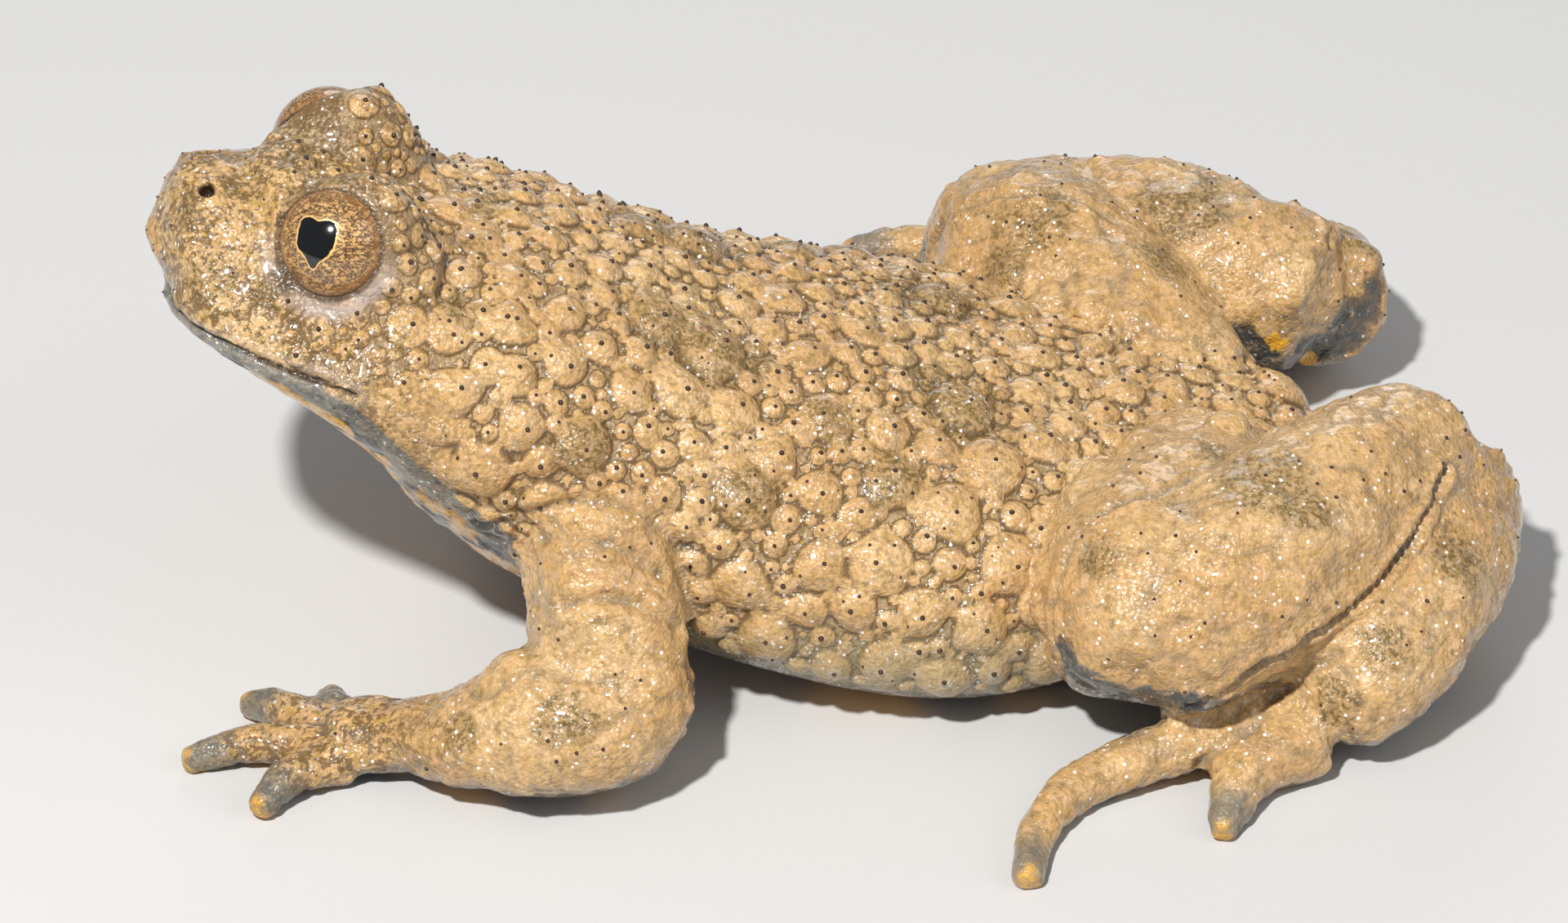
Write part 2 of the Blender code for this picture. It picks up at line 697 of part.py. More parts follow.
def centre(parts, others):
    """Moves everything so that the parts' box has its middle over the origin."""
    corners = np.array([v.co for item in parts for v in item.data.vertices])
    x, y, _ = (corners.min(axis=0) + corners.max(axis=0)) / 2
    for item in (*parts, *others):
        item.data.transform(Matrix.Translation((-x, -y, 0)))


def collect(name, items):
    """Puts the items in a collection of their own."""
    group = bpy.data.collections.new(name)
    bpy.context.scene.collection.children.link(group)
    for item in items:
        bpy.context.scene.collection.objects.unlink(item)
        group.objects.link(item)


def build():
    clear_scene()
    flesh, cutters = head_and_torso()
    body_clear = cutters[-1]
    eyes = {}
    for name, side in SIDES.items():
        eyes["eye_" + name] = eyeball(side)
        pieces, tools = leg(side, name, body_clear)
        cutters += tools
        pieces.update(arm(side, name, body_clear))
        flesh.update({kind + "_" + name: piece for kind, piece in pieces.items()})
    for parts, material in ((flesh, skin_material()), (eyes, iris_material())):
        for name, item in parts.items():
            finish(item, name, material)
    parts = [*flesh.values(), *eyes.values()]
    centre(parts, cutters)
    collect("fire_bellied_toad", parts)
    collect("cutters", cutters)


build()
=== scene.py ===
"""A fire bellied toad at life size: its warty skin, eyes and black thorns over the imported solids."""

import math
import random

import bmesh
import bpy
import numpy as np
from bpy.props import FloatProperty, FloatVectorProperty, IntProperty, PointerProperty
from mathutils import Matrix, Vector, noise
from mathutils.bvhtree import BVHTree
from mathutils.kdtree import KDTree


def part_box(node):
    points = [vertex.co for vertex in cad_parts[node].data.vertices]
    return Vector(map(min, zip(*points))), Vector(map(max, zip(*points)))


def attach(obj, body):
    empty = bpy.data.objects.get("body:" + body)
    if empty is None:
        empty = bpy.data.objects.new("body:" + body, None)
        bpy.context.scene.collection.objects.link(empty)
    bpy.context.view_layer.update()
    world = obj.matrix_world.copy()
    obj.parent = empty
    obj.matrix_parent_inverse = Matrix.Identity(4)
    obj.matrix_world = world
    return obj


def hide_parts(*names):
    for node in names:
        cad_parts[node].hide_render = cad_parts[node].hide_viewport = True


bl_info = {
    "name": "Fire Bellied Toad",
    "version": (1, 0, 0),
    "blender": (4, 5, 0),
    "location": "View3D > Sidebar > Toad",
    "description": "Builds a fire bellied toad's skin, eyes and thorns, with a studio stage",
    "category": "Add Mesh",
}

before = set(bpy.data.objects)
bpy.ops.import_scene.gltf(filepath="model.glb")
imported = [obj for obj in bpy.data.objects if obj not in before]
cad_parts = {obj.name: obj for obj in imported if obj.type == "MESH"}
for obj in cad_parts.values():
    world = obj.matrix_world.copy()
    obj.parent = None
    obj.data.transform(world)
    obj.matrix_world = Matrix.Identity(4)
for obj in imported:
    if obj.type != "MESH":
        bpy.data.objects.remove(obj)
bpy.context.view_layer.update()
ROOT = "root"
SKIN_NODES = [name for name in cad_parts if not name.startswith("eye_")]

BODY_LENGTH = 0.045  # snout to vent
UNIT = BODY_LENGTH / 45  # the tables below are in this unit, 1 mm on this toad
EYE_RADIUS = 2.1
EYE_PLACE = (-16.2, 3.15, 18.15)
EYE_AXIS = (-0.33, 0.80, 0.50)
LID_OPENING = 65.5  # degrees from the eye's axis to the lids' edge
LID_PLACE = (-15.75, 2.9, 18.1)
LID_RADII = (2.65, 2.3, 2.45)
BROW_PLACE = (-15.75, 3.2, 16.7)
BROW_RADII = (3.3, 2.9, 1.9)
NOSTRIL_PLACE = (-20.75, 1.15, 19.2)
MOUTH_ROWS = (
    (-22.9, 0.0, 15.7),
    (-22.4, 2.4, 15.5),
    (-21.5, 4.0, 15.45),
    (-20.2, 5.3, 15.3),
    (-18.7, 6.1, 15.0),
    (-17.3, 6.7, 14.7),
    (-16.0, 7.1, 14.2),
)

FLOOR_LEVEL = 0.03  # the skin's lowest level, just clear of the floor
LOW_HEIGHT = 6.5  # below this the flanks take on the belly's colours
TIP_REACH = 2.6  # how far the colour of the digits' tips reaches
HALO_REACH = 0.42  # the pale ring round a thorn
PUPIL_PLACE = (0.24, 0.14)  # forward and up from the eye's axis
PUPIL_SIZE = 1.2

# x and z of the upper edge of the dark band along the lower jaw and throat
JAW_EDGE = ((-22.9, 15.8), (-20.2, 15.5), (-17.3, 14.85), (-16.0, 13.9), (-13.0, 10.6), (-9.0, 7.2))

BODY_STEPS = 6  # rings to each span of the rows below
BODY_SIDES = 72
# x, z, half width, height above, depth below and squareness of the belly, from snout to rump
BODY_ROWS = (
    (-22.5, 16.9, 1.3, 1.25, 0.95, 2.0),
    (-22.1, 16.85, 2.5, 2.3, 1.65, 2.0),
    (-21.6, 16.7, 3.6, 3.2, 2.2, 2.0),
    (-20.2, 15.95, 5.2, 4.25, 2.65, 2.0),
    (-17.6, 14.9, 6.6, 4.5, 3.2, 2.1),
    (-14.6, 13.4, 7.5, 4.3, 3.9, 2.1),
    (-11.6, 11.8, 8.2, 4.95, 5.7, 2.1),
    (-8.0, 9.7, 8.5, 5.35, 6.9, 2.2),
    (-4.0, 7.2, 9.2, 5.9, 6.2, 2.5),
    (0.5, 5.2, 10.2, 6.4, 5.1, 3.1),
    (5.0, 3.8, 10.9, 6.1, 4.0, 3.4),
    (9.5, 3.4, 10.0, 5.2, 3.7, 3.2),
    (13.5, 3.6, 7.6, 4.1, 3.7, 2.6),
    (17.0, 4.0, 5.2, 2.8, 3.2, 2.2),
    (19.0, 4.3, 3.3, 1.9, 2.2, 2.0),
    (20.0, 4.5, 1.5, 0.9, 1.0, 2.0),
)
# x, distance from the body's middle, z, half width across and half height
ARM_ROWS = {
    "left": (
        (-7.0, 4.6, 9.0, 3.4, 3.0),
        (-7.4, 8.2, 7.0, 2.9, 2.9),
        (-7.3, 10.9, 4.8, 2.8, 2.6),
        (-7.4, 12.1, 3.4, 2.7, 2.6),
        (-10.1, 12.3, 3.0, 2.8, 2.7),
        (-13.2, 11.3, 2.0, 2.0, 1.7),
        (-15.0, 10.4, 1.5, 1.6, 1.2),
        (-17.0, 9.9, 1.1, 2.0, 1.0),
    ),
    "right": (
        (-7.0, 4.6, 9.0, 3.4, 3.0),
        (-7.0, 8.2, 7.0, 3.4, 2.9),
        (-5.6, 11.2, 4.8, 3.0, 2.6),
        (-5.0, 12.6, 3.3, 2.6, 2.6),
        (-7.0, 14.2, 2.8, 2.6, 2.4),
        (-9.0, 15.9, 2.0, 2.0, 1.7),
        (-10.4, 16.9, 1.5, 1.6, 1.2),
        (-12.0, 17.9, 1.1, 2.0, 1.0),
    ),
}
FINGER_ROWS = {
    "left": (
        ((-16.2, 9.2, 1.0), (-17.2, 7.6, 0.9), (-17.4, 6.4, 0.7)),
        ((-17.2, 9.2, 1.0), (-19.0, 7.6, 1.1), (-20.4, 6.6, 0.7)),
        ((-17.6, 9.9, 1.0), (-20.3, 9.5, 1.1), (-22.8, 9.7, 0.7)),
        ((-17.0, 10.8, 1.0), (-18.9, 11.5, 1.2), (-20.3, 12.9, 0.7)),
    ),
    "right": (
        ((-12.0, 17.0, 1.0), (-13.2, 15.7, 0.9), (-13.8, 14.7, 0.7)),
        ((-12.6, 17.6, 1.0), (-14.7, 17.0, 1.1), (-16.3, 16.6, 0.7)),
        ((-12.6, 18.3, 1.0), (-14.6, 19.6, 1.1), (-16.6, 21.0, 0.7)),
        ((-11.8, 18.9, 1.0), (-12.9, 20.7, 1.2), (-13.1, 22.6, 0.7)),
    ),
}
FINGER_RADII = (0.95, 0.82, 0.55)
THIGH_ROWS = {
    "left": (
        (15.4, 2.6, 4.5, 3.4, 3.2),
        (14.2, 6.0, 5.1, 4.0, 3.8),
        (12.2, 9.2, 5.5, 4.0, 4.0),
        (11.6, 11.4, 5.0, 3.3, 3.9),
        (11.8, 12.6, 4.2, 2.6, 3.3),
    ),
    "right": (
        (15.2, 2.6, 4.5, 3.4, 3.2),
        (13.2, 6.8, 5.2, 3.9, 3.8),
        (11.0, 10.6, 5.6, 3.9, 4.0),
        (9.8, 13.0, 4.9, 3.2, 3.5),
        (10.0, 14.2, 4.2, 2.6, 3.1),
    ),
}
SHANK_ROWS = {
    "left": (
        (11.4, 11.8, 4.9, 3.1, 3.4),
        (13.4, 11.3, 5.6, 3.7, 3.8),
        (17.0, 9.2, 6.1, 3.9, 4.1),
        (20.6, 6.2, 6.2, 3.6, 3.9),
        (23.6, 3.7, 6.4, 2.6, 2.9),
    ),
    "right": (
        (9.6, 13.6, 4.7, 3.1, 3.1),
        (12.2, 13.0, 5.1, 3.6, 3.3),
        (15.6, 11.4, 5.5, 3.7, 3.5),
        (18.7, 9.7, 5.4, 3.4, 3.3),
        (21.2, 8.4, 5.1, 2.9, 3.0),
    ),
}
FOOT_ROWS = {
    "left": (
        (24.1, 3.5, 5.2, 2.8, 2.9),
        (23.6, 5.8, 4.1, 3.1, 2.9),
        (22.0, 8.6, 3.9, 3.3, 3.2),
        (19.9, 11.3, 3.2, 3.4, 2.8),
        (18.1, 13.0, 1.9, 2.5, 1.5),
    ),
    "right": (
        (21.8, 9.0, 4.5, 2.5, 2.8),
        (22.0, 11.2, 3.5, 2.6, 2.6),
        (21.0, 13.6, 2.8, 2.4, 2.2),
        (18.8, 15.3, 2.2, 2.2, 1.7),
        (16.4, 16.5, 1.7, 2.3, 1.3),
    ),
}
TOE_ROWS = {
    "left": (
        ((18.2, 11.6, 1.3), (16.8, 10.6, 1.0), (15.7, 10.1, 0.6)),
        ((17.6, 12.0, 1.3), (15.4, 11.2, 1.0), (13.6, 10.7, 0.6)),
        ((17.2, 12.6, 1.4), (14.2, 12.4, 1.0), (11.6, 12.4, 0.6)),
        ((17.2, 13.0, 1.6), (13.2, 13.6, 1.5), (9.4, 14.8, 1.1), (7.4, 16.9, 0.8), (6.6, 19.6, 0.65)),
        ((17.6, 13.6, 1.5), (15.1, 15.0, 1.2), (13.8, 17.8, 0.65)),
    ),
    "right": (
        ((16.4, 15.0, 1.3), (15.0, 14.0, 1.0), (13.9, 13.5, 0.6)),
        ((15.8, 15.4, 1.3), (13.6, 14.9, 1.0), (11.8, 14.7, 0.6)),
        ((15.4, 16.0, 1.4), (12.4, 16.2, 1.0), (9.8, 16.9, 0.6)),
        ((15.4, 16.4, 1.6), (11.8, 18.4, 1.5), (8.8, 19.7, 1.1), (6.6, 20.3, 0.8), (4.6, 20.2, 0.65)),
        ((16.0, 17.0, 1.5), (14.2, 19.0, 1.2), (12.4, 21.6, 0.65)),
    ),
}
TOE_RADII = ((1.15, 0.9, 0.55),) * 3 + ((1.3, 0.98, 0.6), (1.55, 1.25, 0.55))  # first to fifth toe
WEB_THICKNESS = 0.6
WEB_REACH = 0.62
WEB_SINK = 0.8  # how high the webs lie, as a share of the toes' height
DIGIT_DROP = 0.3  # how far the fingers and toes are let down, so that they rest on the floor

# The large warts are the ones on the solids: seed, tries, and (radius, height, how many)
WART_SEED = 11
WART_TRIES = 2600
WART_SIZES = ((1.3, 0.42, 14), (1.05, 0.36, 80), (0.78, 0.28, 270))
WART_SPREAD = (0.86, 1.12)  # a wart's radius, as a share of its size in the list above
WART_RINGS = (28, 5)  # the body's rings that have no large warts, at its head and at its rump
WART_ARC = (-14, 194)  # degrees round a ring, from under the right side to under the left one
WIDE_WART = 0.92  # warts over this radius stand on the flanks only
WIDE_FROM = 0.5  # the share of sideways lean where the flanks begin for them
LIMB_FROM = 0.62  # and where the shoulders and hips begin
CROWDING = 0.9  # how near two large warts stand, as a share of their radii
HEAD_END = -13.0  # no large wart is drawn ahead of this x
LIMB_SPANS = ((-9.0, -3.0), (9.2, 24.0))  # the x of the shoulders and hips, which have no large warts
# The glands that stand out on both sides of the back: x, distance from the middle, z, radius
GLANDS = (
    (-5.0, 2.8, 13.6, 1.3),
    (-3.0, 3.4, 12.6, 1.55),
    (6.2, 3.5, 9.4, 1.35),
    (-8.0, 7.7, 11.9, 1.15),
    (-2.2, 8.2, 9.5, 1.3),
    (0.9, 5.3, 10.7, 1.15),
    (3.2, 7.3, 9.1, 1.2),
    (7.3, 9.2, 6.5, 1.35),
    (2.5, 9.6, 7.2, 1.3),
    (0.2, 9.5, 7.3, 1.1),
    (1.5, 10.2, 5.7, 0.95),
    (-10.4, 4.9, 15.2, 1.0),
    (-12.5, 5.3, 15.7, 0.85),
    (-11.0, 1.4, 16.3, 0.7),
    (-11.9, 3.2, 16.3, 0.75),
    (9.0, 4.4, 8.3, 1.1),
    (9.2, 7.0, 8.1, 1.0),
    (-4.4, 5.5, 12.3, 1.1),
    (-8.5, 5.8, 14.0, 1.0),
    (-12.4, 7.2, 14.2, 1.0),
    (-6.2, 6.0, 12.8, 0.9),
    (-1.0, 7.0, 10.3, 1.0),
)
GLAND_HEIGHT = 0.33  # as a share of its radius
# Small warts fill in between, by part of the body: (radius, height, tries)
SMALL_WARTS = {
    "trunk": ((0.62, 0.22, 6000), (0.45, 0.17, 12000), (0.32, 0.12, 18000), (0.22, 0.07, 18000)),
    "crown": ((0.62, 0.13, 60), (0.46, 0.11, 300), (0.34, 0.09, 1500), (0.22, 0.06, 6000)),
    "snout": ((0.3, 0.04, 90), (0.2, 0.03, 700)),
    "limb": ((0.95, 0.13, 90), (0.6, 0.11, 300), (0.36, 0.08, 1000), (0.22, 0.05, 3000)),
}

# The photograph's view: its size, and where the point between the elbows falls in it
PHOTO = (1920, 1130)
PHOTO_POINT = (960, 565)
VIEW_AZIMUTH = math.radians(-6)
VIEW_HEIGHT = math.radians(36)
VIEW_DISTANCE = 260
VIEW_TARGET = (0, 0, 5)
VIEW_SCALE = 33  # pixels to a unit at the target
SENSOR = 36

# Folds of the shoulder, hip, hind leg and foot: pixels of the photograph, width and depth in units
FOLDS = (
    (((600, 690), (660, 660), (740, 665), (810, 700)), 0.28, 0.2),
    (((640, 775), (690, 740), (760, 735), (830, 770)), 0.3, 0.22),
    (((590, 640), (670, 615), (760, 620), (840, 670)), 0.26, 0.16),
    (((1295, 800), (1292, 750), (1312, 676), (1349, 631), (1408, 605), (1475, 579)), 0.2, 0.2),
    (((1769, 577), (1717, 675), (1630, 762), (1543, 814), (1456, 861)), 0.22, 0.36),
    (((1640, 800), (1560, 855), (1533, 890), (1470, 936)), 0.22, 0.2),
)

# Patches by their colour: a pixel of the photograph, and a radius in units
OLIVE_PATCHES = (
    ((800, 395), 1.5),
    ((860, 425), 1.6),
    ((905, 440), 1.1),
    ((1180, 500), 1.9),
    ((1130, 470), 1.0),
    ((715, 545), 1.1),
    ((915, 610), 1.2),
    ((1010, 510), 1.0),
    ((1090, 590), 1.1),
    ((590, 250), 0.9),
    ((575, 300), 0.7),
    ((1545, 580), 1.7),
    ((1500, 560), 1.0),
    ((1590, 620), 1.1),
    ((1350, 680), 0.9),
    ((690, 880), 1.2),
    ((560, 900), 0.8),
    ((1265, 270), 1.5),
    ((1440, 250), 1.0),
    ((1790, 690), 1.3),
    ((1700, 790), 1.0),
    ((1640, 860), 0.9),
    ((330, 350), 1.0),
    ((260, 340), 0.9),
    ((370, 185), 0.9),
    ((300, 230), 0.8),
    ((230, 260), 0.7),
    ((560, 380), 0.7),
    ((1230, 330), 0.9),
)
DARK_PATCHES = (
    ((1305, 800), 0.6),
    ((1325, 828), 0.8),
    ((1365, 847), 0.8),
    ((1405, 856), 0.8),
    ((1450, 862), 0.8),
    ((1490, 862), 0.6),
    ((1520, 413), 0.7),
    ((1545, 426), 0.6),
    ((1595, 430), 0.8),
    ((1630, 422), 0.9),
    ((1655, 405), 0.9),
    ((1672, 380), 0.8),
    ((1680, 352), 0.6),
    ((1645, 385), 0.7),
)
FIRE_PATCHES = (((1564, 421), 0.42), ((1602, 442), 0.38))
PATCHES = {"olive": OLIVE_PATCHES, "shade": DARK_PATCHES, "orange": FIRE_PATCHES}

# The outlined warts behind the eye: a photograph pixel and a radius
HEAD_WARTS = (
    ((586, 252), 0.85),
    ((512, 247), 0.5),
    ((577, 295), 0.7),
    ((618, 315), 0.75),
    ((561, 338), 0.68),
    ((512, 288), 0.5),
    ((628, 396), 0.62),
    ((586, 382), 0.6),
    ((500, 400), 0.85),
    ((550, 410), 0.95),
    ((596, 446), 0.75),
    ((655, 350), 0.6),
)
HEAD_WART_RISE = 0.16  # their height, as a share of the radius


def scaled(point):
    return Vector(point) * UNIT


def middle_of(node):
    low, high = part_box(node)
    return (Vector(low) + Vector(high)) / 2


def offset():
    """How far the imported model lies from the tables, read from an eye."""
    middle = middle_of("eye_left")
    x, y, _ = EYE_PLACE
    return Vector((middle.x - x * UNIT, middle.y + y * UNIT, 0))


def smooth_rows(rows, steps):
    """Rows on a smooth curve through the given ones, with this many to each span."""
    table = np.array(rows, float)
    padded = np.vstack([2 * table[0] - table[1], table, 2 * table[-1] - table[-2]])
    found = []
    for i in range(1, len(padded) - 2):
        before, start, end, after = padded[i - 1 : i + 3]
        for k in range(steps):
            t = k / steps
            found.append(
                0.5
                * (
                    2 * start
                    + (end - before) * t
                    + (2 * before - 5 * start + 4 * end - after) * t**2
                    + (3 * start - before - 3 * end + after) * t**3
                )
            )
    found.append(table[-1])
    return found


def power_curve(value, power):
    return math.copysign(abs(value) ** (2 / power), value)


def body_frame(rows, index):
    ahead, behind = rows[min(index + 1, len(rows) - 1)], rows[max(index - 1, 0)]
    along = Vector((ahead[0] - behind[0], 0, ahead[1] - behind[1])).normalized()
    return Vector((rows[index][0], 0, rows[index][1])), Vector((-along.z, 0, along.x))


def body_ring_point(rows, index, angle):
    """A point of the body's skin, where angle 0 is its right side and a quarter turn its back."""
    middle, up = body_frame(rows, index)
    width, height, depth, squareness = rows[index][2:6]
    sine, cosine = math.sin(angle), math.cos(angle)
    power = squareness if sine < 0 else 2.0
    reach = height if sine > 0 else depth
    across = Vector((0, width * power_curve(cosine, power), 0))
    return middle + across + up * reach * power_curve(sine, power)


def bell(value, width, power=2):
    """1 where the value is 0, falling to 0 over about this width."""
    return np.exp(-((value / width) ** power))


def lift_to(values, indices, wanted):
    """Raises the values at these indices to the wanted ones, where they are lower."""
    values[indices] = np.maximum(values[indices], wanted)


def vectors(rows, name):
    """A mesh's places or normals as an array."""
    flat = np.empty(len(rows) * 3)
    rows.foreach_get(name, flat)
    return flat.reshape(-1, 3)


def turns(count):
    return [2 * math.pi * k / count for k in range(count)]


def facing(across, up, out):
    return Matrix((across, up, out)).transposed().to_4x4()


def join_rings(mesh, rings):
    for lower, upper in zip(rings, rings[1:]):
        for k in range(len(lower)):
            after = (k + 1) % len(lower)
            mesh.faces.new((lower[k], lower[after], upper[after], upper[k]))


def join_tip(mesh, ring, tip):
    for k in range(len(ring)):
        mesh.faces.new((ring[k], ring[(k + 1) % len(ring)], tip))


def linked(name, mesh):
    data = bpy.data.meshes.new(name)
    mesh.to_mesh(data)
    mesh.free()
    made = bpy.data.objects.new(name, data)
    bpy.context.scene.collection.objects.link(made)
    return made


def ring_mesh(name, rings):
    """A closed mesh through rings of points, with a rounded tip at both ends."""
    mesh = bmesh.new()
    made = [[mesh.verts.new(point * UNIT) for point in ring] for ring in rings]
    join_rings(mesh, made)
    for ring, inner in ((made[0], rings[1]), (made[-1], rings[-2])):
        middle = sum((v.co for v in ring), Vector()) / len(ring)
        inner_middle = sum(inner, Vector()) / len(inner) * UNIT
        reach = max((v.co - middle).length for v in ring)
        tip = mesh.verts.new(middle + (middle - inner_middle).normalized() * reach * 0.5)
        join_tip(mesh, ring, tip)
    bmesh.ops.recalc_face_normals(mesh, faces=mesh.faces)
    return linked(name, mesh)


def tube(name, rows, side, sides=28, steps=8):
    line = smooth_rows(rows, steps)
    middles = [Vector((row[0], side * row[1], row[2])) for row in line]
    rings = []
    for i, middle in enumerate(middles):
        along = middles[min(i + 1, len(line) - 1)] - middles[max(i - 1, 0)]
        across = along.cross(Vector((0, 0, 1))).normalized()
        up = across.cross(along).normalized()
        wide, high = across * line[i][3], up * line[i][4]
        rings.append([middle + wide * math.cos(t) + high * math.sin(t) for t in turns(sides)])
    return ring_mesh(name, rings)


def digit(name, points, radii, side):
    last = len(points) - 1
    rows = []
    for i, point in enumerate(points):
        radius = float(np.interp(2 * i / last, (0, 1, 2), radii))
        x, y, z = point
        rows.append((x, y, z - DIGIT_DROP, radius, radius * 0.92))
    return tube(name, rows, side, sides=20, steps=6)


def web(name, first, second, side):
    """The skin between two toes: a thin plate whose free edge curves in."""
    mesh = bmesh.new()
    count = 12
    rows_a, rows_b = smooth_rows(first, 6), smooth_rows(second, 6)
    top, bottom = [], []
    for k in range(count + 1):
        share = k / count
        edge_in = 1 - 0.35 * math.sin(math.pi * share)
        along_a = rows_a[round(WEB_REACH * edge_in * (len(rows_a) - 1))]
        along_b = rows_b[round(WEB_REACH * edge_in * (len(rows_b) - 1))]
        outer = Vector(along_a).lerp(Vector(along_b), share)
        root = Vector(first[0]).lerp(Vector(second[0]), share)
        for row, lift in ((top, WEB_THICKNESS / 2), (bottom, -WEB_THICKNESS / 2)):
            places = [Vector((p.x, side * p.y, p.z * WEB_SINK + lift)) for p in (root, outer)]
            row.append([mesh.verts.new(place * UNIT) for place in places])
    for k in range(count):
        for row in (top, bottom):
            mesh.faces.new((row[k][0], row[k][1], row[k + 1][1], row[k + 1][0]))
        for end in (0, 1):
            mesh.faces.new((top[k][end], top[k + 1][end], bottom[k + 1][end], bottom[k][end]))
    for k in (0, count):
        mesh.faces.new((top[k][0], top[k][1], bottom[k][1], bottom[k][0]))
    bmesh.ops.recalc_face_normals(mesh, faces=mesh.faces)
    return linked(name, mesh)


def ellipsoid(name, place, radii, turn=(0, 0, 0)):
    mesh = bmesh.new()
    bmesh.ops.create_uvsphere(mesh, u_segments=48, v_segments=32, radius=1)
    made = linked(name, mesh)
    made.scale = Vector(radii) * UNIT
    made.rotation_euler = turn
    made.location = scaled(place)
    bpy.context.view_layer.update()
    made.data.transform(made.matrix_world)
    made.matrix_world.identity()
    return made


def eye_axes(side):
    """An eye's centre, its axis, and the directions up and forward across it."""
    centre = np.array((EYE_PLACE[0], side * EYE_PLACE[1], EYE_PLACE[2]))
    axis = np.array((EYE_AXIS[0], side * EYE_AXIS[1], EYE_AXIS[2]))
    axis /= np.linalg.norm(axis)
    up = np.array((0, 0, 1.0)) - axis * axis[2]
    up /= np.linalg.norm(up)
    return centre, axis, up, np.cross(axis, up) * -side


def lid_opening(turn):
    """Degrees from the eye's axis to the lids' edge, where turn 0 is forward and a quarter turn is up."""
    return LID_OPENING + 3 * np.cos(turn) - 2.5 * np.sin(turn)


def settle(item):
    """Applies an object's modifiers."""
    bpy.context.view_layer.update()
    graph = bpy.context.evaluated_depsgraph_get()
    data = bpy.data.meshes.new_from_object(item.evaluated_get(graph))
    item.modifiers.clear()
    item.data = data
    return item


def flesh_pieces():
    """The plain forms under the skin, each with the kind of skin that covers it."""
    rows = smooth_rows(BODY_ROWS, BODY_STEPS)
    rings = [[body_ring_point(rows, i, t) for t in turns(BODY_SIDES)] for i in range(len(rows))]
    pieces = [(ring_mesh("trunk", rings), "trunk")]
    for side, name in ((-1, "left"), (1, "right")):
        for place, radii in ((LID_PLACE, LID_RADII), (BROW_PLACE, BROW_RADII)):
            x, y, z = place
            pieces.append((ellipsoid("lid", (x, side * y, z), radii, (side * -0.35, -0.25, 0)), "head"))
        for table in (ARM_ROWS, THIGH_ROWS, SHANK_ROWS, FOOT_ROWS):
            pieces.append((tube("limb", table[name], side), "limb"))
        for points in FINGER_ROWS[name]:
            pieces.append((digit("finger", points, FINGER_RADII, side), "digit"))
        for points, radii in zip(TOE_ROWS[name], TOE_RADII):
            pieces.append((digit("toe", points, radii, side), "digit"))
        toes = TOE_ROWS[name]
        pieces += [(web("web", a, b, side), "digit") for a, b in zip(toes, toes[1:])]
    return pieces


class Skin:
    """The skin's mesh while it is worked on: places, normals and per-point values as arrays in units."""

    def __init__(self, item, kinds):
        self.item = item
        self.kinds = kinds
        self.values = {}
        self.refresh()

    def refresh(self):
        data = self.item.data
        self.places = vectors(data.vertices, "co") / UNIT
        self.normals = vectors(data.vertex_normals, "vector")
        self.tree = KDTree(len(self.places))
        for i, place in enumerate(self.places):
            self.tree.insert(place, i)
        self.tree.balance()
        self.surface = BVHTree.FromObject(self.item, bpy.context.evaluated_depsgraph_get())

    def value(self, name, start=0.0):
        """The named value at each point, made at its first use."""
        return self.values.setdefault(name, np.full(len(self.places), start))

    def near(self, point, radius):
        """The indices of the points this near, and their distances."""
        found = self.tree.find_range(point, radius)
        return np.array([f[1] for f in found], int), np.array([f[2] for f in found])

    def seat(self, point):
        """The nearest place on the skin."""
        return np.array(self.surface.find_nearest(Vector(point) * UNIT)[0]) / UNIT

    def write(self):
        self.item.data.vertices.foreach_set("co", (self.places * UNIT).ravel())
        self.item.data.update()

    def store(self):
        for name, values in self.values.items():
            attribute = self.item.data.attributes.new(name, "FLOAT", "POINT")
            attribute.data.foreach_set("value", values.astype(np.float32))

    def push(self, height):
        """Moves every point outward by its height, and finds the new normals."""
        self.places += self.normals * height[:, None]
        self.turn_normals()

    def turn_normals(self):
        """Writes the places, and finds the normals that they give."""
        self.write()
        self.normals = vectors(self.item.data.vertex_normals, "vector")

    def lumps(self, size, seed):
        """Smooth noise from -1 to 1 at each point, whose lumps are about this many units across."""
        shift = Vector((seed * 7.3, seed * 3.1, seed * 5.7))
        return np.array([noise.noise(Vector(place) / size + shift) for place in self.places])

    def is_kind(self, *kinds):
        return np.isin(self.kinds, kinds).astype(float)

    def ease(self, weight, rounds):
        """Evens out the skin where the weight is 1, by moving each point towards its neighbours."""
        edges = np.empty(len(self.item.data.edges) * 2, np.int64)
        self.item.data.edges.foreach_get("vertices", edges)
        first, second = edges.reshape(-1, 2).T
        near = (weight[first] > 0) | (weight[second] > 0)
        first, second = first[near], second[near]
        count = np.bincount(first, minlength=len(weight)) + np.bincount(second, minlength=len(weight))
        count = np.maximum(count, 1)
        for _ in range(rounds):
            total = np.zeros_like(self.places)
            np.add.at(total, first, self.places[second])
            np.add.at(total, second, self.places[first])
            middle = total / count[:, None]
            self.places += (middle - self.places) * (weight * 0.6)[:, None]


def camera_axes():
    across = Vector((math.cos(VIEW_AZIMUTH), math.sin(VIEW_AZIMUTH), 0))
    back = Vector(
        (
            math.sin(VIEW_AZIMUTH) * math.cos(VIEW_HEIGHT),
            -math.cos(VIEW_AZIMUTH) * math.cos(VIEW_HEIGHT),
            math.sin(VIEW_HEIGHT),
        )
    )
    return across, back.cross(across), back


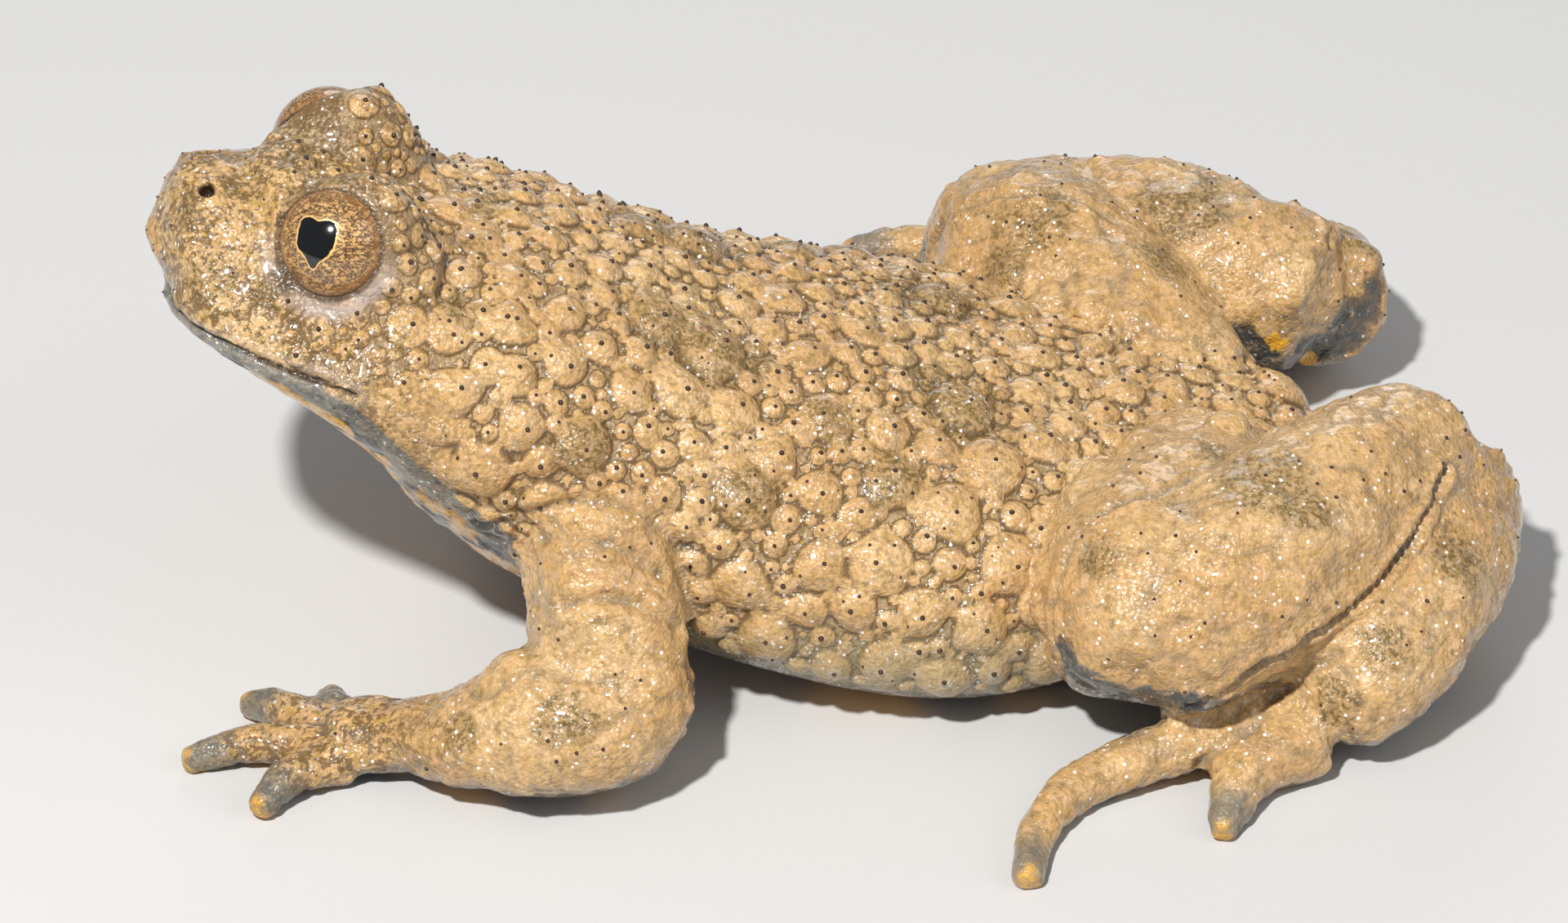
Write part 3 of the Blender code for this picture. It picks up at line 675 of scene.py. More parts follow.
def seen_at(skin, pixel):
    """The place on the skin that the photograph shows at this pixel, in units, or None."""
    across, up, back = camera_axes()
    eye = Vector(VIEW_TARGET) + back * VIEW_DISTANCE
    x, y = pixel[0] - PHOTO_POINT[0], PHOTO_POINT[1] - pixel[1]
    ray = (across * x + up * y - back * VIEW_SCALE * VIEW_DISTANCE).normalized()
    hit = skin.surface.ray_cast(eye * UNIT, ray)[0]
    return None if hit is None else np.array(hit) / UNIT


def fine_bands(item):
    """Halves the faces round the eyes, nostrils and mouth, where the forms are smallest."""
    mesh = bmesh.new()
    mesh.from_mesh(item.data)
    mouth = [np.array(row) for row in smooth_rows(MOUTH_ROWS, 4)]
    centres = [(np.array(EYE_PLACE), 3.6), (np.array(NOSTRIL_PLACE), 0.9)] + [(m, 0.8) for m in mouth]
    edges = set()
    for vertex in mesh.verts:
        x, y, z = vertex.co / UNIT
        if x > -11.5:
            continue
        place = np.array((x, abs(y), z))
        if any(((place - centre) ** 2).sum() < radius**2 for centre, radius in centres):
            edges.update(vertex.link_edges)
    bmesh.ops.subdivide_edges(mesh, edges=list(edges), cuts=1, use_grid_fill=True, smooth=0)
    mesh.to_mesh(item.data)
    mesh.free()
    return item


def remeshed(item, voxel, smoothing):
    """Turns a mesh into one even skin with this grain, with its creases eased."""
    remesh = item.modifiers.new("Fuse", "REMESH")
    remesh.mode = "VOXEL"
    remesh.voxel_size = voxel
    ease = item.modifiers.new("Ease", "SMOOTH")
    ease.factor = 0.5
    ease.iterations = smoothing
    return settle(item)


def beyond_lids(places, side):
    """Each place's distance, direction and height from an eye's centre, and its degrees beyond the lids."""
    centre, axis, up, front = eye_axes(side)
    apart = places - centre
    reach = np.linalg.norm(apart, axis=1)
    out = apart / reach[:, None]
    theta = np.degrees(np.arccos(np.clip(out @ axis, -1, 1)))
    high = out @ up
    return reach, out, high, theta - lid_opening(np.arctan2(high, out @ front))


def open_eye(item, side):
    """Presses the flesh round an eye into a shallow funnel, from under the ball's front out to the lids."""
    places = vectors(item.data.vertices, "co") / UNIT
    reach, out, _, beyond = beyond_lids(places, side)
    steps = (-12, -3, 2, 8, 16, 26, 40)
    ceiling = np.array((-0.6, -0.05, 0.3, 0.42, 0.75, 1.5, 3.0)) + EYE_RADIUS
    limit = np.where(beyond > steps[-1], 99, np.interp(beyond, steps, ceiling))
    near = (reach < EYE_RADIUS + 3) & (reach > 0.5)
    places[near] = eye_axes(side)[0] + out[near] * np.minimum(reach, limit)[near, None]
    item.data.vertices.foreach_set("co", (places * UNIT).ravel())
    item.data.update()


def fused_skin(voxel, smoothing):
    """One closed skin over all the flesh, and the kind of skin at each point."""
    pieces = flesh_pieces()
    total = sum(len(piece.data.vertices) for piece, _ in pieces)
    nearest = KDTree(total)
    kinds = []
    mesh = bmesh.new()
    for piece, kind in pieces:
        for vertex in piece.data.vertices:
            nearest.insert(vertex.co, len(kinds))
            kinds.append(kind)
        mesh.from_mesh(piece.data)
        bpy.data.objects.remove(piece)
    nearest.balance()
    item = remeshed(linked("toad_skin", mesh), voxel * 1.4, smoothing - 2)
    for side in (-1, 1):
        open_eye(item, side)
    fine_bands(remeshed(item, voxel, 3))
    found = np.array([kinds[nearest.find(v.co)[1]] for v in item.data.vertices])
    skin = Skin(item, found)
    x, z = skin.places[:, 0], skin.places[:, 2]
    on_head = (found == "head") | ((x < -12.8) & (found == "trunk"))
    found[on_head] = np.where((x[on_head] > -18.2) & (z[on_head] > 14.6), "crown", "snout")
    return skin


def large_warts():
    """Where the large warts sit: (point, radius, height), the glands first and the rest drawn."""
    draw = random.Random(WART_SEED)
    rows = smooth_rows(BODY_ROWS, BODY_STEPS)
    chosen = []
    for x, y, z, radius in GLANDS:
        chosen += [(Vector((x, side * y, z)), radius, GLAND_HEIGHT * radius) for side in (-1, 1)]
    for radius, height, count in WART_SIZES:
        made = 0
        for _ in range(WART_TRIES):
            index = draw.randrange(WART_RINGS[0], len(rows) - WART_RINGS[1])
            angle = math.radians(draw.uniform(*WART_ARC))
            size = radius * draw.uniform(*WART_SPREAD)
            point = body_ring_point(rows, index, angle)
            flank = abs(math.cos(angle))
            beside_limb = flank > LIMB_FROM and any(low < point.x < high for low, high in LIMB_SPANS)
            on_head = point.x < HEAD_END
            too_wide = size > WIDE_WART and flank < WIDE_FROM
            crowded = any((point - other[0]).length < CROWDING * (size + other[1]) for other in chosen)
            if made >= count or beside_limb or on_head or too_wide or crowded:
                continue
            chosen.append((point, size, height * size / radius))
            made += 1
    return chosen


def head_warts(skin):
    """The outlined warts behind both eyes: (point, radius, height), marked so that their outlines show."""
    ringed = skin.value("ringed")
    made = []
    for pixel, radius in HEAD_WARTS:
        point = seen_at(skin, pixel)
        if point is None:
            raise RuntimeError(f"the wart at {pixel} misses the skin")
        for side in (1, -1):
            seat = skin.seat(point * np.array((1, side, 1)))
            indices, apart = skin.near(seat, radius * 1.4)
            lift_to(ringed, indices, 1 - np.clip(apart / radius - 1, 0, 0.4) / 0.4)
            made.append((seat, radius, HEAD_WART_RISE * radius))
    return made


def small_warts(skin, taken):
    """Small warts between the large ones: (point, radius, height), as close as they fit."""
    draw = np.random.default_rng(WART_SEED)
    many = sum(tries for sizes in SMALL_WARTS.values() for _, _, tries in sizes) + len(taken)
    places, radii = np.full((many, 3), 1e6), np.zeros(many)
    places[: len(taken)] = [w[0] for w in taken]
    radii[: len(taken)] = [w[1] for w in taken]
    used = len(taken)
    made = []
    for kind, sizes in SMALL_WARTS.items():
        spots = np.flatnonzero(skin.kinds == kind)
        spots = spots[(skin.normals[spots, 2] > -0.35) & (skin.places[spots, 2] > 0.5)]
        spread = 0.84 if kind == "trunk" else 0.95 if kind == "crown" else 1.5
        for radius, height, tries in sizes:
            for index in draw.choice(spots, tries):
                size = radius * draw.uniform(0.8, 1.25)
                place = skin.places[index]
                apart = ((places[:used] - place) ** 2).sum(axis=1)
                if (apart < (spread * (size + radii[:used])) ** 2).any() or in_eye(place):
                    continue
                places[used], radii[used] = place, size
                used += 1
                made.append((place, size, height * size / radius))
    return made


def in_eye(place):
    x, y, z = EYE_PLACE
    return (place[0] - x) ** 2 + (abs(place[1]) - y) ** 2 + (place[2] - z) ** 2 < (EYE_RADIUS + 0.5) ** 2


def raise_domes(skin, warts):
    """Lifts the skin into a low dome at each wart, and stores how high each point stands in its dome."""
    lift = np.zeros(len(skin.places))
    share = np.zeros(len(skin.places))
    wobble = 1 + 0.3 * skin.lumps(1.1, 2)
    for point, radius, height in warts:
        indices, apart = skin.near(point, radius * 1.2)
        if len(indices) == 0:
            continue
        rise = np.clip(1 - (apart * wobble[indices] / radius) ** 2.4, 0, 1)
        lift_to(lift, indices, height * rise)
        lift_to(share, indices, rise)
    groove = np.where(np.isin(skin.kinds, ("trunk", "crown")), np.exp(-share / 0.12), 0)
    skin.value("dome")[:] = share
    skin.push(lift - 0.05 * groove)


def roughen(skin):
    """Adds the low lumps of the limbs and the fine grain that the whole skin has."""
    limb, digit, trunk = skin.is_kind("limb"), skin.is_kind("digit"), skin.is_kind("trunk", "crown")
    snout = skin.is_kind("snout")
    height = skin.lumps(2.4, 3) * (0.26 * limb + 0.1 * digit + 0.1 * snout)
    height += skin.lumps(0.95, 4) * (0.1 * limb + 0.07 * digit + 0.05 * snout + 0.03 * trunk)
    height += skin.lumps(0.42, 5) * (0.035 * limb + 0.04 * digit + 0.03 * snout + 0.035 * trunk)
    creases = bell(skin.lumps(2.6, 6), 0.06) + 0.7 * bell(skin.lumps(1.3, 7), 0.08)
    height -= creases * (0.065 * limb + 0.07 * digit + 0.03 * snout)
    # The crease marks are painted dark as shade in the skin's finish.
    skin.value("crease")[:] = creases * (limb + digit)
    clear = 1 - np.clip(skin.value("lid_edge") + skin.value("lid") * 0.7, 0, 1)
    skin.push(height * clear)


def carve_eye(skin, side):
    """Fits the lids to an eye's ball, and marks their rims."""
    reach, out, high, beyond = beyond_lids(skin.places, side)
    near = np.flatnonzero(reach < EYE_RADIUS + 1.6)
    reach, out, high, beyond = reach[near], out[near], high[near], beyond[near]
    ceiling = np.interp(beyond, (-10, -3, 0), (EYE_RADIUS - 0.4, EYE_RADIUS - 0.02, 9))
    sheath = np.where((beyond > -1) & (beyond < 60), EYE_RADIUS + 0.08, 0)
    skin.places[near] = eye_axes(side)[0] + out * np.clip(reach, sheath, ceiling)[:, None]
    low = np.clip(-high * 1.8 + 0.1, 0, 1)
    close = np.clip((EYE_RADIUS + 1.0 - reach) / 0.5, 0, 1)
    for name, values in (
        ("lid", bell(beyond - 6, 6) * low * close),
        ("lid_edge", np.clip(1 - beyond / 2, 0, 1) * close),
        ("around", np.clip((beyond + 2) / 3, 0, 1) * np.clip((26 - beyond) / 12, 0, 1) * close),
    ):
        lift_to(skin.value(name), near, values)


def carve_nostrils(skin):
    """Sinks a small slit with a raised rim at each nostril."""
    x, y, z = NOSTRIL_PLACE
    for side in (-1, 1):
        seat = skin.seat((x, side * y, z))
        indices, apart = skin.near(seat, 1.1)
        apart = apart - apart.min()
        dip = -0.5 * bell(apart, 0.22, 4) + 0.07 * bell(apart - 0.4, 0.17)
        skin.places[indices] += skin.normals[indices] * dip[:, None]
        skin.value("pit")[indices] = 1.4 * bell(apart, 0.26, 4)


def mouth_distance(skin):
    """How far each point is from the line of the mouth, up to 1.2 units."""
    best = np.full(len(skin.places), 9.0)
    for side in (-1, 1):
        for x, y, z in smooth_rows(MOUTH_ROWS, 14):
            indices, apart = skin.near(skin.seat((x, side * y, z)), 1.2)
            best[indices] = np.minimum(best[indices], apart)
    return best


def carve_mouth(skin, apart):
    """Cuts the line of the mouth and swells a lip on both sides of it."""
    lip = 0.05 * bell(apart - 0.42, 0.24)
    skin.value("lip")[:] = bell(apart - 0.3, 0.2)
    skin.value("slit")[:] = bell(apart, 0.14)
    skin.push(lip - 0.24 * bell(apart, 0.13))


def crease_folds(skin):
    """Presses in the folds that the photograph shows, on both sides, and marks the bottom of each."""
    bottom = skin.value("fold")
    for fold, width, depth in FOLDS:
        row = [point for point in (seen_at(skin, pixel) for pixel in fold) if point is not None]
        if len(row) < 2:
            raise RuntimeError(f"the fold from {fold[0]} misses the skin")
        for side in (1, -1):
            mirrored = [point * np.array((1, side, 1)) for point in row]
            line = smooth_rows([skin.seat(point) for point in mirrored], 10)
            best = np.full(len(skin.places), 9.0)
            for point in line:
                indices, apart = skin.near(point, width * 3)
                best[indices] = np.minimum(best[indices], apart)
            near = best < width * 3
            push = -depth * bell(best[near], width)
            push += 0.5 * depth * bell(best[near] - 1.6 * width, width)
            skin.places[near] += skin.normals[near] * push[:, None]
            # The folds' bottoms are marked to be painted dark as shade.
            lift_to(bottom, near, bell(best[near], 0.16) * depth / 0.3)


def paint_patches(skin):
    """Marks the patches where the photograph shows them, and those of the near side on both sides."""
    for name, patches in PATCHES.items():
        marked = skin.value(name)
        for pixel, radius in patches:
            point = seen_at(skin, pixel)
            if point is None:
                raise RuntimeError(f"the patch at {pixel} misses the skin")
            for side in (1, -1) if point[1] < 0 else (1,):
                seat = skin.seat(point * np.array((1, side, 1)))
                indices, apart = skin.near(seat, radius * 1.5)
                lift_to(marked, indices, 1 - np.clip(apart / (radius * 1.5), 0, 1) ** 2)


def paint_underside(skin):
    """Marks how far each point faces down and lies low, for the belly's colours, and the digits' tips."""
    skin.value("under")[:] = np.clip(0.1 - skin.normals[:, 2], 0, 1.1) / 1.1
    skin.value("low")[:] = np.clip(1 - skin.places[:, 2] / LOW_HEIGHT, 0, 1)
    for side, name in ((-1, "left"), (1, "right")):
        for x, y, z in (rows[-1] for rows in FINGER_ROWS[name] + TOE_ROWS[name]):
            indices, apart = skin.near((x, side * y, z), TIP_REACH)
            lift_to(skin.value("tip"), indices, 1 - apart / TIP_REACH)
    skin.value("bare")[:] = np.isin(skin.kinds, ("limb", "digit")).astype(float)
    skin.value("head")[:] = skin.is_kind("snout")
    x, y, z = skin.places.T
    skin.value("face")[:] = np.clip((-12.0 - x) / 4, 0, 1)
    level = np.interp(x, *zip(*JAW_EDGE))
    jaw = (x < JAW_EDGE[-1][0]) * (1 - skin.is_kind("limb", "digit"))
    skin.value("jaw")[:] = jaw * np.clip((level - z) / 0.3, 0, 1)


def plant_thorns(skin, warts):
    """Chooses where the thorns stand: (place, size), one to five on a wart, and marks a ring round each."""
    draw = random.Random(WART_SEED)
    thorns = []
    halo = skin.value("halo")
    for point, radius, _ in warts:
        normal = skin.surface.find_nearest(Vector(point) * UNIT)[1]
        kind = skin.kinds[skin.tree.find(point)[1]]
        bare = kind in ("snout", "limb")
        if normal.z < -0.25 or (radius < 0.27 and not bare) or (radius < 0.42 and draw.random() < 0.45):
            continue
        many = 1 if radius < 0.95 else draw.randint(1, 3) if radius < 1.2 else draw.randint(3, 5)
        if kind == "limb" and radius > 0.55:
            continue
        for k in range(many):
            spread = 0.12 * radius if k == 0 else 0.5 * radius
            side = Vector((draw.gauss(0, 1), draw.gauss(0, 1), draw.gauss(0, 1)))
            side = (side - normal * side.dot(normal)).normalized() * spread
            size = draw.uniform(0.85, 1.2) if k == 0 else draw.uniform(0.45, 0.85)
            size *= 0.5 if kind == "snout" else 0.72 if bare or radius < 0.4 else 1.0
            thorns.append((Vector(point) + side, size))
            indices, apart = skin.near(Vector(point) + side, HALO_REACH)
            lift_to(halo, indices, (1 - apart / HALO_REACH) * min(size * 1.2, 1))
    return thorns


def thorn_mesh(skin, thorns, radius, height):
    """All the thorns as one mesh of small blunt cones, each rooted in the skin."""
    mesh = bmesh.new()
    for place, size in thorns:
        seat, face = skin.surface.find_nearest(place * UNIT)[:2]
        across = face.orthogonal().normalized()
        other = face.cross(across)
        rings = []
        for share, out in ((-0.5, 1.05), (0.15, 0.95), (0.65, 0.62)):
            ring = []
            for turn in turns(6):
                flat = (across * math.cos(turn) + other * math.sin(turn)) * radius * size * out
                ring.append(mesh.verts.new(seat + flat + face * height * size * share))
            rings.append(ring)
        tip = mesh.verts.new(seat + face * height * size)
        join_rings(mesh, rings)
        join_tip(mesh, rings[-1], tip)
        mesh.faces.new(rings[0][::-1])
    return linked("toad_thorns", mesh)


class Value:
    """A socket that arithmetic works on: each expression adds its Math node."""

    def __init__(self, tree, socket):
        self.tree = tree
        self.socket = socket

    def math(self, operation, *values):
        return self.tree.node("ShaderNodeMath", {"operation": operation}, dict(enumerate((self, *values))))

    def __add__(self, other):
        return self.math("ADD", other)

    def __radd__(self, other):
        return self.math("ADD", other)

    def __sub__(self, other):
        return self.math("SUBTRACT", other)

    def __rsub__(self, other):
        return self.tree.node("ShaderNodeMath", {"operation": "SUBTRACT"}, {0: other, 1: self})

    def __mul__(self, other):
        return self.math("MULTIPLY", other)

    def __truediv__(self, other):
        return self.math("DIVIDE", other)

    def __pow__(self, other):
        return self.math("POWER", other)

    def step(self, low, high):
        """0 below low and 1 above high, with a smooth rise between."""
        settings = {"interpolation_type": "SMOOTHSTEP"}
        sockets = {"Value": self, "From Min": low, "From Max": high}
        return self.tree.node("ShaderNodeMapRange", settings, sockets)


class Tree:
    """A material's nodes, made by their types, settings and socket values."""

    def __init__(self, name):
        self.material = bpy.data.materials.new(name)
        self.material.use_nodes = True
        self.nodes = self.material.node_tree.nodes
        self.links = self.material.node_tree.links
        self.shader = self.nodes["Principled BSDF"]

    def node(self, kind, settings=None, sockets=None, output=0):
        made = self.nodes.new(kind)
        for name, value in (settings or {}).items():
            setattr(made, name, value)
        for name, value in (sockets or {}).items():
            self.feed(made.inputs[name], value)
        return Value(self, made.outputs[output])

    def feed(self, socket, value):
        if isinstance(value, Value):
            self.links.new(value.socket, socket)
        else:
            socket.default_value = value

    def set(self, **values):
        """Feeds the shader's sockets, with underscores for the spaces in their names."""
        for name, value in values.items():
            self.feed(self.shader.inputs[name.replace("_", " ")], value)

    def stored(self, name):
        return self.node("ShaderNodeAttribute", {"attribute_name": name}, output=2)

    def place(self):
        """The point's place in metres in the piece's own frame."""
        return self.node("ShaderNodeTexCoord", output=3)

    def noise(self, size, detail=3.0, rough=0.55, at=None):
        """Noise from 0 to 1 whose lumps are about this many units across."""
        sockets = {"Vector": at or self.place(), "Scale": 1 / (size * UNIT)}
        return self.node("ShaderNodeTexNoise", {}, {**sockets, "Detail": detail, "Roughness": rough})

    def cells(self, size):
        """The distance to the nearest of scattered points, this many units apart."""
        sockets = {"Vector": self.place(), "Scale": 1 / (size * UNIT)}
        return self.node("ShaderNodeTexVoronoi", {}, sockets)

    def mix(self, factor, first, second):
        sockets = {"Factor": factor, 6: first, 7: second}
        made = self.nodes.new("ShaderNodeMix")
        made.data_type = "RGBA"
        for name, value in sockets.items():
            self.feed(made.inputs[name], value)
        return Value(self, made.outputs[2])

    def bump(self, height, strength, distance):
        sockets = {"Height": height, "Strength": strength, "Distance": distance * UNIT}
        return self.node("ShaderNodeBump", {}, sockets)


class Paint:
    """A colour that further ones are laid over."""

    def __init__(self, tree, colour):
        self.tree = tree
        self.colour = colour

    def over(self, factor, colour):
        self.colour = self.tree.mix(factor, self.colour, colour)


def skin_finish(settings):
    """Moist, mottled skin: tan above with olive patches, grey grooves and wart outlines of painted shade,
    painted highlight specks, orange and black below.
    """
    tree = Tree("toad_skin")
    dome, bare, head = tree.stored("dome"), tree.stored("bare"), tree.stored("head")
    broad, middle, fine = tree.noise(4.5), tree.noise(1.1, 4), tree.noise(0.24, 2.2, 0.55)
    grain = tree.noise(0.12, 3, 0.6)
    coat = Paint(tree, settings.tan)
    coat.over(broad.step(0.35, 0.65), settings.sand)
    face = tree.stored("face")
    warm = tree.noise(0.4, 4, 0.65).step(0.44, 0.62) * (0.5 + face * 0.3)
    coat.over(warm, settings.ochre)
    warty = (1 - bare) * (1 - head * (1 - tree.stored("ringed")) * 0.9)
    # Painted shade: the grooves between the warts are darkened towards the groove colour.
    between = (1 - dome.step(0.0, 0.06)) * warty
    coat.over(between * 0.48, settings.groove)
    # Painted shade: a dark ring round the foot of each wart.
    outline_shade = dome.step(0.0, 0.05) * (1 - dome.step(0.12, 0.42)) * warty
    coat.over(outline_shade * (0.95 - face * 0.2), settings.dark_brown_and_shade)
    speckle = fine.step(0.48, 0.6) * (0.42 - bare * 0.12)
    coat.over(speckle, settings.brown)
    shade = tree.noise(0.5, 5, 0.7).step(0.5, 0.66) * (0.34 + bare * 0.1)
    coat.over(shade, settings.olive)
    dapple = tree.noise(0.25, 4, 0.65) + (tree.noise(1.3, 3) - 0.5) * 0.6
    coat.over(dapple.step(0.47, 0.55) * face * 0.8, settings.dark_brown_and_shade)
    # Painted shade in the creases of the limbs and digits, and at the bottom of the folds.
    coat.over(tree.stored("crease") * 0.3, settings.groove)
    coat.over(tree.stored("fold") * 0.75, settings.slate_and_fold_shade)
    patch = tree.stored("olive") * 1.15 + (tree.noise(1.5, 5, 0.65) - 0.5) * 2.4
    stipple = tree.noise(0.2, 3, 0.6).step(0.46, 0.6)
    coat.over(patch.step(0.35, 1.0) * (0.35 + stipple * 0.5 - face * 0.15), settings.olive)
    halo = tree.stored("halo") * tree.stored("low").step(0.1, 0.7) * (1 - bare)
    coat.over(tree.stored("halo").step(0.3, 0.9) * 0.3, settings.sand)
    coat.over(halo.step(0.15, 0.7) * 0.8, settings.pale)
    jaw = tree.stored("jaw")
    side = tree.stored("under") + (middle - 0.5) * 0.3 + jaw * 0.6 + tree.stored("shade") * 0.65
    low = side.step(0.45, 0.66)
    lower = (tree.stored("low") + (middle - 0.5) * 0.4).step(0.1, 0.5) * (1 - bare) * (1 - face)
    coat.over(lower * (0.5 + between * 0.3), settings.moss)
    coat.over(low * 0.88, settings.slate_and_fold_shade)
    coat.over(low * fine.step(0.5, 0.62) * (0.6 - jaw * 0.35), settings.tan)
    jaw_spots = (tree.noise(0.8, 4, 0.7) - tree.stored("under") * 0.3).step(0.4, 0.56)
    coat.over(jaw * jaw_spots * 0.75, settings.ink)
    knee = (tree.stored("shade") + (tree.noise(0.5, 5, 0.7) - 0.5) * 1.6).step(0.35, 0.75)
    coat.over(knee * 0.7, settings.ink)
    ragged = (tree.noise(1.6, 4) - 0.5) * 0.5
    belly = (tree.stored("under") + jaw * 0.35 + ragged).step(0.8, 0.88)
    blotch = tree.noise(2.8, 2.5, 0.5).step(0.46, 0.51)
    below = tree.mix(blotch, settings.ink, settings.fire)
    below = tree.mix(stipple * 0.3, below, settings.slate_and_fold_shade)
    coat.over(belly, below)
    orange = tree.stored("orange") + (tree.noise(0.55, 4) - 0.5) * 2.2
    coat.over(orange.step(0.5, 0.6) * 0.9, settings.fire)
    above = 1 - belly
    # Painted highlights: tiny near-white specks and dabs stand in for the sparkle of the wet skin.
    painted_sparkle = (1 - tree.cells(0.42).step(0.11, 0.2)) * tree.noise(0.9, 3).step(0.46, 0.52) * above
    glint = tree.noise(0.13, 2).step(0.6, 0.66) * tree.noise(1.1, 4, 0.7).step(0.5, 0.6) * above
    painted_highlights = (painted_sparkle * 0.85).math("MAXIMUM", glint * (0.55 - bare * 0.3 - face * 0.3))
    coat.over(painted_highlights * (1 - tree.stored("lid")), settings.painted_sparkle)
    tip = tree.stored("tip") + (fine - 0.5) * 0.3
    coat.over(tip.step(0.1, 0.6) * 0.7, settings.slate_and_fold_shade)
    coat.over((tip + tree.stored("under") * 0.35).step(0.8, 1.0) * 0.75, settings.fire)
    coat.over(tree.stored("lip") * 0.2, settings.pale)
    coat.over(tree.stored("lid") * 0.85, settings.lid)
    # Painted shade inside the nostrils, along the slit of the mouth and at the lids' edge.
    dark = tree.stored("pit") + tree.stored("slit") * 0.75 + tree.stored("lid_edge") * 0.6
    coat.over(dark.step(0.1, 0.9), settings.umber_and_shade)
    pebbles = tree.cells(0.17)
    height = grain * 0.4 + fine * 0.4 - pebbles * pebbles * (0.6 + face * 0.2)
    wet = tree.noise(0.7, 3).step(0.36, 0.56)
    tree.set(
        Base_Color=coat.colour,
        Roughness=0.46 - wet * 0.24 + (fine - 0.5) * 0.2,
        Coat_Weight=(0.1 + wet * 0.6) * (1 - tree.stored("pit").step(0.2, 0.8)),
        Coat_Roughness=0.07,
        IOR=1.45,
        Subsurface_Weight=0.06,
        Subsurface_Scale=0.6 * UNIT,
        Normal=tree.bump(height, 0.8, 0.085),
    )
    return tree.material


def thorn_finish(settings):
    tree = Tree("toad_thorn")
    colour = tree.mix(tree.noise(0.4).step(0.4, 0.6), settings.thorn, settings.thorn_root)
    tree.set(Base_Color=colour, Roughness=0.5, Coat_Weight=0.06, Coat_Roughness=0.1)
    return tree.material


def eye_finish(settings, name, side):
    """A copper iris with dark network, a gold rim and a three-cornered pupil, under a wet cornea."""
    tree = Tree("toad_iris_" + name)
    place = tree.place()
    x = tree.node("ShaderNodeSeparateXYZ", {}, {0: place}, 0) / UNIT
    y = tree.node("ShaderNodeSeparateXYZ", {}, {0: place}, 1) / UNIT
    px, py = (x * side - PUPIL_PLACE[0]) / PUPIL_SIZE, (y - PUPIL_PLACE[1]) / PUPIL_SIZE
    reach = (px * px + py * py) ** 0.5
    turn = py.math("ARCTAN2", px)
    upward, downward = turn - math.pi / 2, turn + math.pi / 2
    notch = (upward * upward * -16).math("EXPONENT")
    corner = (downward * downward * -14).math("EXPONENT")
    lobes = ((upward.math("ABSOLUTE") - 0.75) ** 2 * -6).math("EXPONENT")
    edge = 0.6 + lobes * 0.13 - notch * 0.08 + corner * 0.26 + (tree.noise(0.3) - 0.5) * 0.14
    inside = 1 - (reach - edge).step(-0.015, 0.015)
    rim = 1 - (reach - edge - 0.02).math("ABSOLUTE").step(0.01, 0.05)
    whole = (x * x + y * y) ** 0.5
    flow = tree.node("ShaderNodeMapping", {}, {"Vector": place, "Scale": (1.0, 1.7, 1.0)})
    rays = tree.noise(0.3, 6, 0.75, at=flow)
    ridges = (tree.noise(0.34, 4, 0.7, at=flow) - 0.5).math("ABSOLUTE")
    dark = 1 - ridges.step(0.018, 0.075)
    iris = Paint(tree, settings.copper)
    iris.over(rays.step(0.38, 0.55), settings.gold)
    iris.over(dark * 0.9, settings.umber_and_shade)
    iris.over(whole.step(1.5, 1.85) * 0.55, settings.copper)
    iris.over(rim, settings.bright)
    iris.over(inside, (0.0, 0.0, 0.0, 1))
    # Painted shade: the ball turns near black where the lids meet it.
    iris.over(whole.step(1.82, 1.94), (0.012, 0.009, 0.006, 1))
    tree.set(
        Base_Color=iris.colour,
        Roughness=0.4 - inside * 0.3,
        Metallic=(1 - inside) * 0.25,
        Coat_Weight=1.0,
        Coat_Roughness=0.02,
        Normal=tree.bump(rays * (1 - inside), 0.25, 0.05),
    )
    return tree.material


def length_property(name, description, size):
    return FloatProperty(
        name=name, description=description, default=size * UNIT, unit="LENGTH", precision=6
    )


class ToadSkinSettings(bpy.types.PropertyGroup):
    voxel: length_property("Skin Grain", "Size of the skin's faces", 0.15)
    smoothing: IntProperty(name="Smoothing", description="How far creases are eased", default=7, min=0)
    thorn_radius: length_property("Thorn Radius", "Radius of a thorn's root", 0.095)
    thorn_height: length_property("Thorn Height", "Height of a thorn", 0.11)


def colour_property(name, description, default):
    return FloatVectorProperty(
        name=name, description=description, subtype="COLOR", size=4, min=0, max=1, default=(*default, 1)
    )


